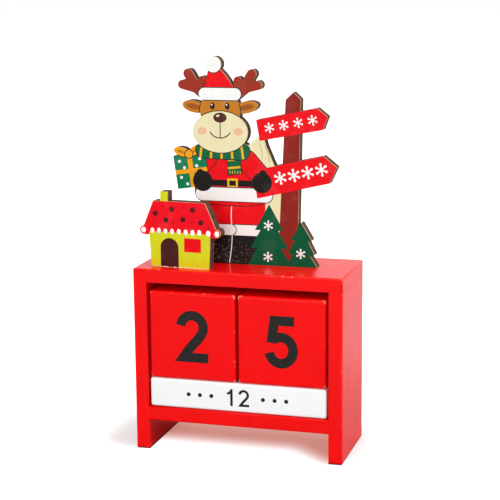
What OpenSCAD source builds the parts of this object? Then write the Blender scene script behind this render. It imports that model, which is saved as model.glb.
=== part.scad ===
// Desk block calendar. A painted wooden frame on two legs holds two number cubes above three
// month bars, and two painted plywood cut-outs stand on its top board.
// Millimetres. +Z is up, the front faces -Y, and the origin is under the middle of the footprint.

/* [Blocks] */
// Edge of a day cube
cube_w = 45; // [40:0.5:60]
// Edge of a month bar's square section
bar_w = 15; // [12:0.5:20]
// Eased edge of the cubes
cube_ease = 1.5; // [0.5:0.1:3]
// Eased edge of the bars
bar_ease = 0.8; // [0.3:0.1:2]
// Gap beside and between the cubes
cube_gap = 1.3; // [0.6:0.1:3]
// Gap at each end of a month bar
bar_end_gap = 1; // [0.5:0.1:3]
// Gap between blocks that lie on or behind each other
stack_gap = 0.2; // [0.1:0.05:0.5]

/* [Frame] */
// Thickness of the side panels
side_t = 7; // [6:0.5:12]
// Thickness of the top board
top_t = 7; // [6:0.5:12]
// Thickness of the shelf
shelf_t = 7.5; // [6:0.5:12]
// Thickness of the back panel
back_t = 2; // [1.5:0.1:4]
// Width of the rebate in each side panel that takes the back panel
rebate_w = 3.5; // [2.5:0.5:4.5]
// Height of the shelf above the floor
leg_h = 15.5; // [8:0.5:30]
// Free height above the cubes
head_gap = 4.1; // [2:0.1:8]
// How far the blocks stand behind the front of the frame
front_recess = 0.2; // [0:0.1:3]

/* [Cut-outs] */
// Thickness of the plywood
plate_t = 6; // [4:0.5:8]
// Height of the tall figure cut-out
figure_h = 104.6; // [90:0.2:115]
// Height of the house cut-out
house_h = 38.3; // [30:0.1:45]
// From the front of the frame to the front of the house, at its middle
house_setback = 6.7; // [5:0.1:10]
// Clear depth between the two cut-outs
plate_gap = 9.7; // [5:0.1:14]
// Distance of the house's middle to the left of the frame's middle
house_offset = 31.1; // [26:0.1:34]
// Turn of the house about the upright, in degrees
house_turn = 5; // [0:1:8]

/* [Nails] */
// Diameter of the frame and cut-out nails
nail_d = 1.2; // [1:0.1:1.6]
// Diameter of their heads
nail_head_d = 2.2; // [1.8:0.1:3]
// Diameter of the back panel's nails
pin_d = 1; // [0.8:0.1:1.2]
// Diameter of their heads
pin_head_d = 1.8; // [1.4:0.1:2.4]
// Thickness of a nail head
head_t = 0.6; // [0.4:0.1:1]
// Depth of a nail head below the painted face
head_sink = 0.3; // [0.1:0.1:0.5]
// Length of a nail in the second piece
nail_bite = 9; // [6:0.5:11]
// Length of a back panel nail in the second piece
pin_bite = 6; // [4:0.5:7]
// Distance of the frame nails from the front and back of the frame
nail_edge = 10; // [9:0.5:14]
// Clearance around a nail in its hole
nail_fit = 0.03; // [0.01:0.01:0.05]

/* [Hidden] */
$fn = 32;

// Paint and wood colours
RED = [0.93, 0.07, 0.07];
BLOCK_RED = [0.97, 0.10, 0.11];
WHITE = [0.96, 0.96, 0.95];
PLY = [0.72, 0.54, 0.36];
BOARD = [0.55, 0.40, 0.26];
STEEL = [0.70, 0.70, 0.72];

// Frame, worked out from the blocks that it holds
BARS = 3;
opening_w = 2 * cube_w + 3 * cube_gap;
frame_w = opening_w + 2 * side_t;
block_depth = max(cube_w, BARS * bar_w + (BARS - 1) * stack_gap);
frame_d = front_recess + block_depth + stack_gap + back_t;
front_y = -frame_d / 2;
back_y = frame_d / 2 - back_t;
blocks_y = front_y + front_recess;
shelf_top = leg_h + shelf_t;
shelf_mid = leg_h + shelf_t / 2;
bar_z = shelf_top + stack_gap;
cube_z = bar_z + bar_w + stack_gap;
opening_top = cube_z + cube_w + head_gap;
frame_h = opening_top + top_t;
bar_len = opening_w - 2 * bar_end_gap;
cut = 1;

// Cut-outs on the top board
house_y = front_y + house_setback;
figure_y = house_y + plate_t + plate_gap;
FIGURE_DRAWN_H = 104.6;
HOUSE_DRAWN_H = 38.3;
figure_scale = figure_h / FIGURE_DRAWN_H;
house_scale = house_h / HOUSE_DRAWN_H;

// Nail places
nail_row = frame_d / 2 - nail_edge;
side_mid = (frame_w - side_t) / 2;
rebate_mid = opening_w / 2 + rebate_w / 2;
back_h = opening_top - leg_h;
PIN_LEVELS = 3;
pin_pitch = back_h / PIN_LEVELS;
shelf_pin_pitch = opening_w / 3;
FIGURE_NAILS = [-18, -2, 12, 29];
HOUSE_NAILS = [-11.5, 10.5];

// Outline of the figure cut-out, in millimetres as drawn: x from the frame's middle, then height
head_x = -14;
head_mid = 77.5;
HEAD = [10.5, 10];
muzzle_mid = 67;
MUZZLE = [14.4, 10.4];
ear_reach = 13.5;
ear_mid = 79.5;
EAR = [6.2, 3];
ear_tilt = 12;
TINES = [
    [[5, 83], [12, 88.5], 2.6],
    [[12, 88.5], [16.5, 96], 2.4],
    [[12, 88.5], [19.5, 90.5], 2.3],
    [[9, 86.2], [9.3, 92.8], 2]
];
brim_half = 8;
brim_mid = 86;
brim_r = 3;
HAT = [[-8, 86], [8, 86], [5.6, 91.5], [1.5, 97], [-3.2, 100.6], [-5.8, 98], [-7, 92.5]];
POMPOM = [-3.2, 100.6];
pompom_r = 4;
SCARF = [[-22.5, 58], [-3, 57.5]];
scarf_r = 4.3;
COAT = [[-21, 59], [-27, 51], [-28, 41], [-25.5, 32], [-8.5, 30], [9, 32], [10, 42], [5, 53], [-4, 59]];
HEM = [[-24, 35.5], [9.5, 35.5]];
hem_r = 3.4;
LEFT_ARM = [[-21, 54], [-29, 46]];
RIGHT_ARM = [[0, 53], [7, 45]];
arm_r = 5;
LEFT_MITTEN = [-23.5, 42];
RIGHT_MITTEN = [7.5, 42];
mitten_r = 4.8;
gift_mid = [-29.5, 47];
gift_w = 17;
gift_tilt = 8;
BOW = [3.7, 1.6];
BOW_LOOP = [4.2, 2.2];
bow_tilt = 24;
knot_r = 2;
SACK = [
    [-4, 54], [1, 61], [7.5, 65.5], [10, 60], [13, 53], [16.5, 45], [18.5, 34], [18.5, 18], [15, 5], [2, 4], [-3, 22]
];
legs_x = -8.5;
TROUSERS = [[-13.5, 34], [13.5, 34], [12.5, 17], [-12.5, 17]];
CUFF = [[0.5, 17.5], [11, 17.5]];
cuff_r = 2.7;
BOOT = [[0, 0], [14, 0], [13.8, 5], [12, 9], [11.5, 16], [0, 16]];

// Signpost and fir trees on the same plate
POST = [[15.5, 0], [25.6, 0], [27.5, 84], [23.8, 87.4], [19.9, 83.7]];
UPPER_SIGN = [[4.7, 73.4], [6.5, 63], [38.7, 69.2], [41.1, 75.6], [35.9, 79.8]];
LOWER_SIGN = [[3, 48.1], [5, 34], [42.2, 42.8], [45.9, 50.8], [39.1, 56.2]];
LARGE_TREE = [11.2, 31.3, [18, 8.9, 0], [7.5, 9.8, 11.3], [4.6, 6.2]];
SMALL_TREE = [27.7, 22.6, [13.6, 6.4, 0], [5.4, 6.9, 8.1], [3.2, 4.2]];

// Outline of the house cut-out, about its own middle
WALL = [[-15.7, 0], [15.7, 0], [16.65, 17.3], [-16.65, 17.3]];
ROOF = [[-20, 19.5], [20, 19.5], [13.9, 33.4], [-14.2, 33.4]];
EAVE = [[-19.5, 18.3], [19.8, 18.3]];
eave_r = 2.25;
CHIMNEY = [[-10.15, 33], [-6.25, 33], [-6.25, 38.3], [-10.15, 38.3]];

// Points of an ellipse, turned by tilt
function ellipse(mid, radii, tilt = 0, n = 40) = [
    for (i = [0 : n - 1])
        let (a = 360 * i / n, p = radii[0] * cos(a), q = radii[1] * sin(a))
        mid + [p * cos(tilt) - q * sin(tilt), p * sin(tilt) + q * cos(tilt)]
];

// Points of a bar with round ends from a to b
function capsule(a, b, r, n = 12) =
    let (way = atan2(b[1] - a[1], b[0] - a[0]))
    concat(
        [for (i = [0 : n]) b + r * [cos(way - 90 + 180 * i / n), sin(way - 90 + 180 * i / n)]],
        [for (i = [0 : n]) a + r * [cos(way + 90 + 180 * i / n), sin(way + 90 + 180 * i / n)]]
    );

// Point of a smooth curve between b and c, a share t of the way
function curve(a, b, c, d, t) =
    b + t / 2 * (c - a + t * (2 * a - 5 * b + 4 * c - d + t * (3 * b - a - 3 * c + d)));

// Points of a smooth closed curve through the given points
function loop(points, steps = 5) =
    let (n = len(points))
    [
        for (i = [0 : n - 1], k = [0 : steps - 1])
            curve(points[(i + n - 1) % n], points[i], points[(i + 1) % n], points[(i + 2) % n], k / steps)
    ];

// Points of a rectangle with round corners, its low corner at the origin
function round_rect(size, r, n = 3) = [
    for (c = [[1, 1, 0], [0, 1, 90], [0, 0, 180], [1, 0, 270]], i = [0 : n])
        [r + c[0] * (size[0] - 2 * r), r + c[1] * (size[1] - 2 * r)]
        + r * [cos(c[2] + 90 * i / n), sin(c[2] + 90 * i / n)]
];

// Right half of a tiered fir, from the foot up, as [half width, height]
function fir_side(tree) =
    let (levels = tree[2], reach = tree[3], notch = tree[4], last = len(levels) - 1)
    concat(
        [[reach[last], levels[last]]],
        [for (i = [last - 1 : -1 : 0], edge = [notch[i], reach[i]]) [edge, levels[i]]]
    );

// Points of a tiered fir tree
function fir(tree) =
    let (side = fir_side(tree), n = len(side))
    concat(
        [for (p = side) [tree[0] + p[0], p[1]]],
        [[tree[0], tree[1]]],
        [for (i = [n - 1 : -1 : 0]) [tree[0] - side[i][0], side[i][1]]]
    );

// Block with eased edges, its low corner at the origin
module eased_block(size, ease) {
    intersection() {
        linear_extrude(size[2]) polygon(round_rect([size[0], size[1]], ease));
        rotate([90, 0, 90]) linear_extrude(size[0]) polygon(round_rect([size[1], size[2]], ease));
        translate([0, size[1], 0]) rotate([90, 0, 0])
            linear_extrude(size[1]) polygon(round_rect([size[0], size[2]], ease));
    }
}

// Nail driven along -Z from a face at z = 0
module nail(d, head_d, length) {
    translate([0, 0, -head_sink - head_t]) cylinder(d = head_d, h = head_t);
    translate([0, 0, -head_sink - length]) cylinder(d = d, h = length - head_t / 2);
}

// Hole for that nail, open at the face
module nail_hole(d, head_d, length) {
    translate([0, 0, -head_sink - head_t]) cylinder(d = head_d + 2 * nail_fit, h = head_t + head_sink + cut);
    translate([0, 0, -head_sink - length - nail_fit]) cylinder(d = d + 2 * nail_fit, h = length);
}

module at_top_nails() {
    for (x = [-side_mid, side_mid], y = [-nail_row, nail_row])
        translate([x, y, frame_h]) children();
}

module at_shelf_nails() {
    for (side = [-1, 1], y = [-nail_row, nail_row])
        translate([side * frame_w / 2, y, shelf_mid]) rotate([0, 90 * side, 0]) children();
}

module at_back_nails() {
    for (x = [-rebate_mid, rebate_mid], i = [0 : PIN_LEVELS - 1])
        translate([x, frame_d / 2, leg_h + (i + 0.5) * pin_pitch]) rotate([-90, 0, 0]) children();
    for (i = [-1 : 1])
        translate([i * shelf_pin_pitch, frame_d / 2, shelf_mid]) rotate([-90, 0, 0]) children();
}

module at_figure_nails() {
    for (x = FIGURE_NAILS)
        translate([x * figure_scale, figure_y + plate_t / 2, opening_top]) rotate([180, 0, 0]) children();
}

module at_house() {
    translate([-house_offset, house_y, 0]) rotate([0, 0, -house_turn]) children();
}

module at_house_nails() {
    at_house()
        for (u = HOUSE_NAILS)
            translate([u * house_scale, plate_t / 2, opening_top]) rotate([180, 0, 0]) children();
}

module frame_nail(through) {
    nail(nail_d, nail_head_d, through + nail_bite);
}

module frame_nail_hole(through) {
    nail_hole(nail_d, nail_head_d, through + nail_bite);
}

module panel_pin() {
    nail(pin_d, pin_head_d, back_t + pin_bite);
}

module panel_pin_hole() {
    nail_hole(pin_d, pin_head_d, back_t + pin_bite);
}

// Side board with the rebate for the back panel; side is -1 on the left and 1 on the right
module side_panel(side) {
    difference() {
        translate([side * side_mid - side_t / 2, front_y, 0]) cube([side_t, frame_d, opening_top]);
        translate([side * rebate_mid - rebate_w / 2 - (side > 0 ? cut : 0), back_y, leg_h])
            cube([rebate_w + cut, back_t + cut, back_h + cut]);
        at_top_nails() frame_nail_hole(top_t);
        at_shelf_nails() frame_nail_hole(side_t);
        at_back_nails() panel_pin_hole();
    }
}

module side_panel_left() {
    color(RED) side_panel(-1);
}

module side_panel_right() {
    color(RED) side_panel(1);
}

module top_board() {
    color(RED) difference() {
        translate([-frame_w / 2, front_y, opening_top]) cube([frame_w, frame_d, top_t]);
        at_top_nails() frame_nail_hole(top_t);
        at_figure_nails() frame_nail_hole(top_t);
        at_house_nails() frame_nail_hole(top_t);
    }
}

module bottom_shelf() {
    color(RED) difference() {
        translate([-opening_w / 2, front_y, leg_h]) cube([opening_w, frame_d - back_t, shelf_t]);
        at_shelf_nails() frame_nail_hole(side_t);
        at_back_nails() panel_pin_hole();
    }
}

module back_panel() {
    color(BOARD) difference() {
        translate([-opening_w / 2 - rebate_w, back_y, leg_h]) cube([opening_w + 2 * rebate_w, back_t, back_h]);
        at_back_nails() panel_pin_hole();
    }
}

module top_board_nails() {
    color(STEEL) at_top_nails() frame_nail(top_t);
}

module shelf_nails() {
    color(STEEL) at_shelf_nails() frame_nail(side_t);
}

module back_panel_nails() {
    color(STEEL) at_back_nails() panel_pin();
}

// Slab of plywood as thick as the plate that is being drawn
module slab(points) {
    linear_extrude($slab_t) polygon(points);
}

// Antlers, ears, hat and head, about the head's upright middle line
module head_shape() {
    translate([head_x, 0]) {
        for (side = [0, 1]) mirror([side, 0, 0]) {
            for (tine = TINES) slab(capsule(tine[0], tine[1], tine[2]));
            slab(ellipse([ear_reach, ear_mid], EAR, ear_tilt));
        }
        slab(ellipse([0, head_mid], HEAD));
        slab(ellipse([0, muzzle_mid], MUZZLE));
        slab(loop(HAT));
        slab(capsule([-brim_half, brim_mid], [brim_half, brim_mid], brim_r));
        slab(ellipse(POMPOM, [pompom_r, pompom_r]));
    }
}

module gift_shape() {
    translate(gift_mid) rotate(gift_tilt) {
        slab([for (c = [[-1, -1], [1, -1], [1, 1], [-1, 1]]) c * gift_w / 2]);
        translate([0, gift_w / 2]) {
            for (side = [0, 1]) mirror([side, 0, 0]) slab(ellipse(BOW, BOW_LOOP, bow_tilt));
            slab(ellipse([0, 0], [knot_r, knot_r]));
        }
    }
}

module body_shape() {
    slab(loop(COAT));
    slab(capsule(SCARF[0], SCARF[1], scarf_r));
    slab(capsule(HEM[0], HEM[1], hem_r));
    slab(capsule(LEFT_ARM[0], LEFT_ARM[1], arm_r));
    slab(capsule(RIGHT_ARM[0], RIGHT_ARM[1], arm_r));
    slab(ellipse(LEFT_MITTEN, [mitten_r, mitten_r]));
    slab(ellipse(RIGHT_MITTEN, [mitten_r, mitten_r]));
    slab(loop(SACK));
}

module legs_shape() {
    translate([legs_x, 0]) {
        slab(TROUSERS);
        for (side = [0, 1]) mirror([side, 0, 0]) {
            slab(capsule(CUFF[0], CUFF[1], cuff_r));
            slab(BOOT);
        }
    }
}

module figure_shape() {
    head_shape();
    body_shape();
    gift_shape();
    legs_shape();
    slab(POST);
    slab(UPPER_SIGN);
    slab(LOWER_SIGN);
    slab(fir(LARGE_TREE));
    slab(fir(SMALL_TREE));
}

module house_shape() {
    slab(WALL);
    slab(ROOF);
    slab(capsule(EAVE[0], EAVE[1], eave_r));
    slab(CHIMNEY);
}

// Upright plate on the top board, its front at y = 0
module upright_plate(shape_scale) {
    $slab_t = plate_t / shape_scale;
    translate([0, plate_t, frame_h]) rotate([90, 0, 0]) scale(shape_scale) children();
}

module figure_plate() {
    color(PLY) difference() {
        translate([0, figure_y, 0]) upright_plate(figure_scale) figure_shape();
        at_figure_nails() frame_nail_hole(top_t);
    }
}

module house_plate() {
    color(PLY) difference() {
        at_house() upright_plate(house_scale) house_shape();
        at_house_nails() frame_nail_hole(top_t);
    }
}

module figure_plate_nails() {
    color(STEEL) at_figure_nails() frame_nail(top_t);
}

module house_plate_nails() {
    color(STEEL) at_house_nails() frame_nail(top_t);
}

// Day cube in the left place, 0, or the right place, 1
module day_cube(place) {
    translate([-opening_w / 2 + cube_gap + place * (cube_w + cube_gap), blocks_y, cube_z])
        eased_block([cube_w, cube_w, cube_w], cube_ease);
}

module day_cube_left() {
    color(BLOCK_RED) day_cube(0);
}

module day_cube_right() {
    color(BLOCK_RED) day_cube(1);
}

// Month bar in a row, 0 at the front
module month_bar(row) {
    translate([-bar_len / 2, blocks_y + row * (bar_w + stack_gap), bar_z])
        eased_block([bar_len, bar_w, bar_w], bar_ease);
}

module month_bar_front() {
    color(WHITE) month_bar(0);
}

module month_bar_middle() {
    color(WHITE) month_bar(1);
}

module month_bar_rear() {
    color(WHITE) month_bar(2);
}

side_panel_left();
side_panel_right();
top_board();
bottom_shelf();
back_panel();
top_board_nails();
shelf_nails();
back_panel_nails();
figure_plate();
house_plate();
figure_plate_nails();
house_plate_nails();
day_cube_left();
day_cube_right();
month_bar_front();
month_bar_middle();
month_bar_rear();
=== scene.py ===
"""Desk block calendar, dressed for a studio picture.

A red lacquered frame on two legs holds two number cubes over three month bars, and two printed
plywood cut-outs stand on its top board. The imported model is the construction. This script adds
the rounded boards and blocks, the prints, the finishes, the light and the camera.
Sizes are in millimetres unless a name or a docstring says otherwise, and meshes are in metres.
"""

from __future__ import annotations

import logging
import math
import random
from dataclasses import dataclass, field
from enum import Enum
from typing import Any, Callable, ClassVar, Iterable, Optional, Union

import bmesh
import bpy
from mathutils import Matrix, Vector
from mathutils.geometry import delaunay_2d_cdt

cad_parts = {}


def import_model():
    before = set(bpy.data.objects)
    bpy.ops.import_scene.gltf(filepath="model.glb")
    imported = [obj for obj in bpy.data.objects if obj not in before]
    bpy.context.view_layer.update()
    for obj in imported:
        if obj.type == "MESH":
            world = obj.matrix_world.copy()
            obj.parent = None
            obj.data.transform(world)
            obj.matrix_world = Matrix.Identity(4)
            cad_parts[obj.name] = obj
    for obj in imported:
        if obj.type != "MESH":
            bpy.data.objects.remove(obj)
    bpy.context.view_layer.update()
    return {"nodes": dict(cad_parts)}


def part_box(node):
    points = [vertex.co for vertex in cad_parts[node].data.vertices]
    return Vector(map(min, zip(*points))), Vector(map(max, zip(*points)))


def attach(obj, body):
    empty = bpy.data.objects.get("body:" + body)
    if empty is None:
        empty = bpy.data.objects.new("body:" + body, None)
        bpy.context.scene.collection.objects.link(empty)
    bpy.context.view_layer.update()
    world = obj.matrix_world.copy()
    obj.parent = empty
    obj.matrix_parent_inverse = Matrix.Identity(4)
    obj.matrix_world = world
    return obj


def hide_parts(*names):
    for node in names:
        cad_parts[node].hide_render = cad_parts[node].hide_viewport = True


LOG = logging.getLogger("block_calendar")
MM = 0.001

Colour = tuple[float, float, float, float]
Pair = tuple[float, float]
Triple = tuple[float, float, float]
Key = Union[str, int]
Outline = list[Vector]
Placer = Callable[[float, float, float], Vector]
Nodes = dict[str, bpy.types.Object]

PLAIN_WHITE: Colour = (1.0, 1.0, 1.0, 1.0)


def srgb(red: int, green: int, blue: int) -> Colour:
    """Linear colour of 8-bit sRGB levels.

    Args:
        red: Red level, 0 to 255.
        green: Green level, 0 to 255.
        blue: Blue level, 0 to 255.

    Returns:
        The linear colour with full alpha.
    """

    def linear(level: int) -> float:
        """Linear share of one level."""
        share = level / 255
        return share / 12.92 if share <= 0.04045 else ((share + 0.055) / 1.055) ** 2.4

    return (linear(red), linear(green), linear(blue), 1.0)


def shaded(colour: Colour, share: float) -> Colour:
    """A colour at a share of its brightness, which is over 1 for a paler one."""
    red, green, blue, _ = colour
    return share * red, share * green, share * blue, 1.0


class Socket:
    """An output of a node that takes part in Python arithmetic."""

    def __init__(self, graph: Graph, node: bpy.types.Node, key: Key = 0) -> None:
        """Wraps an output of a node.

        Args:
            graph: The node's graph.
            node: The node.
            key: The output's name or number.
        """
        self.graph = graph
        self.node = node
        self.key = key

    @property
    def output(self) -> bpy.types.NodeSocket:
        """The output itself, for a link."""
        return self.node.outputs[self.key]

    def sibling(self, key: Key) -> Socket:
        """Another output of the same node."""
        return Socket(self.graph, self.node, key)

    def _math(self, operation: str, first: Value, second: Value) -> Socket:
        """A Math node on two values."""
        return self.graph.node("ShaderNodeMath", {"operation": operation}, {0: first, 1: second})

    def __add__(self, other: Value) -> Socket:
        """Sum with a value."""
        return self._math("ADD", self, other)

    def __radd__(self, other: Value) -> Socket:
        """Sum with a value on the left."""
        return self._math("ADD", other, self)

    def __sub__(self, other: Value) -> Socket:
        """Difference from a value."""
        return self._math("SUBTRACT", self, other)

    def __rsub__(self, other: Value) -> Socket:
        """Difference of a value on the left."""
        return self._math("SUBTRACT", other, self)

    def __mul__(self, other: Value) -> Socket:
        """Product with a value."""
        return self._math("MULTIPLY", self, other)

    def __rmul__(self, other: Value) -> Socket:
        """Product with a value on the left."""
        return self._math("MULTIPLY", other, self)

    def __abs__(self) -> Socket:
        """Size of the value without its sign."""
        return self._math("ABSOLUTE", self, 0.0)

    def least(self, other: Value) -> Socket:
        """The smaller of two values."""
        return self._math("MINIMUM", self, other)

    def most(self, other: Value) -> Socket:
        """The larger of two values."""
        return self._math("MAXIMUM", self, other)

    def rise(self, low: float, high: float) -> Socket:
        """Smooth step of the value.

        Args:
            low: Value at which the step begins, at 0.
            high: Value at which it ends, at 1. It may be under low for a falling step.

        Returns:
            The step, from 0 to 1.
        """
        settings = {"interpolation_type": "SMOOTHSTEP"}
        if low <= high:
            return self.graph.node("ShaderNodeMapRange", settings, {"Value": self, 1: low, 2: high})
        return 1.0 - self.rise(high, low)


Value = Union[Socket, float, tuple]


class Graph:
    """A node tree, written as expressions.

    Attributes:
        WAVE_TURN: Phase of a Wave texture, in radians to the metre at a scale of 1.
    """

    WAVE_TURN: ClassVar[float] = 20.0

    def __init__(self, tree: bpy.types.NodeTree) -> None:
        """Takes over a tree and empties it."""
        self.tree = tree
        self.tree.nodes.clear()

    def node(
        self,
        kind: str,
        settings: Optional[dict[str, Any]] = None,
        values: Optional[dict[Key, Value]] = None,
        output: Key = 0,
    ) -> Socket:
        """Adds a node.

        Args:
            kind: The node's type.
            settings: Its properties, which are set first.
            values: A value or a link for each of its named or numbered inputs.
            output: The output that is wanted.

        Returns:
            That output.
        """
        made = self.tree.nodes.new(kind)
        for key, value in (settings or {}).items():
            setattr(made, key, value)
        for key, value in (values or {}).items():
            if isinstance(value, Socket):
                self.tree.links.new(value.output, made.inputs[key])
            else:
                made.inputs[key].default_value = value
        return Socket(self, made, output)

    def place(self) -> Socket:
        """Object coordinates, in metres."""
        return self.node("ShaderNodeTexCoord", output="Object")

    def axes(self, vector: Socket) -> tuple[Socket, Socket, Socket]:
        """The three components of a vector."""
        across = self.node("ShaderNodeSeparateXYZ", values={"Vector": vector})
        return across, across.sibling("Y"), across.sibling("Z")

    def stretch(self, vector: Socket, factors: Triple) -> Socket:
        """A vector times a factor on each axis."""
        return self.node("ShaderNodeVectorMath", {"operation": "MULTIPLY"}, {0: vector, 1: factors})

    def bands(self, vector: Socket, axis: str, pitch: float, sway: float = 0.0) -> Socket:
        """Soft bands that follow each other along an axis.

        Args:
            vector: Where they are read, in metres.
            axis: The axis, as X, Y or Z.
            pitch: From one band to the next, in millimetres.
            sway: How far they wander.

        Returns:
            The bands, from 0 to 1.
        """
        scale = math.tau / (self.WAVE_TURN * pitch * MM)
        values = {"Vector": vector, "Scale": scale, "Distortion": sway}
        return self.node("ShaderNodeTexWave", {"bands_direction": axis}, values, output="Fac")

    def blend(self, share: Value, first: Value, second: Value) -> Socket:
        """A colour between two colours."""
        values = {0: share, 6: first, 7: second}
        return self.node("ShaderNodeMix", {"data_type": "RGBA"}, values, output=2)

    def bump(self, height: Socket, depth: float) -> Socket:
        """Normal of a relief from 0 to 1, with its depth in millimetres."""
        values = {"Strength": 1.0, "Distance": depth * MM, "Height": height}
        return self.node("ShaderNodeBump", values=values)


class MaterialGraph(Graph):
    """The node tree of one material."""

    def __init__(self, name: str) -> None:
        """Makes a material with no nodes.

        Args:
            name: The material's name.
        """
        self.material = bpy.data.materials.new(name)
        self.material.use_nodes = True
        super().__init__(self.material.node_tree)

    def end(self, shader: Socket) -> bpy.types.Material:
        """Ends the tree in a shader and gives the material."""
        self.node("ShaderNodeOutputMaterial", values={"Surface": shader})
        return self.material

    def surface(self, values: dict[str, Value]) -> bpy.types.Material:
        """Ends the tree in a Principled shader with values or links for its inputs."""
        return self.end(self.node("ShaderNodeBsdfPrincipled", values=values))


@dataclass(frozen=True)
class Noise:
    """A soft random pattern.

    Attributes:
        scale: Its features to the metre, alike every way or one number for each axis.
        detail: Octaves.
        rough: Strength of the finer octaves.
        step: Levels between which it steps from 0 to 1, or none where it is left soft.
    """

    scale: Union[float, Triple]
    detail: float = 3.0
    rough: float = 0.55
    step: Optional[Pair] = None

    def at(self, graph: Graph, place: Socket) -> Socket:
        """Adds the pattern to a material.

        Args:
            graph: The material's nodes.
            place: Where it is read, in metres.

        Returns:
            The pattern, from 0 to 1.
        """
        scale = self.scale
        if isinstance(scale, tuple):
            place, scale = graph.stretch(place, scale), 1.0
        values = {"Vector": place, "Scale": scale, "Detail": self.detail, "Roughness": self.rough}
        pattern = graph.node("ShaderNodeTexNoise", values=values)
        return pattern.rise(*self.step) if self.step else pattern


class Grain(Enum):
    """The axis that a board's grain and brush strokes follow."""

    ALONG_X = 0
    ALONG_Z = 2

    def stretched(self, along: float, across: float) -> Triple:
        """Features to the metre on each axis, of so many along the grain and across it."""
        return tuple(along if axis == self.value else across for axis in range(3))


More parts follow.
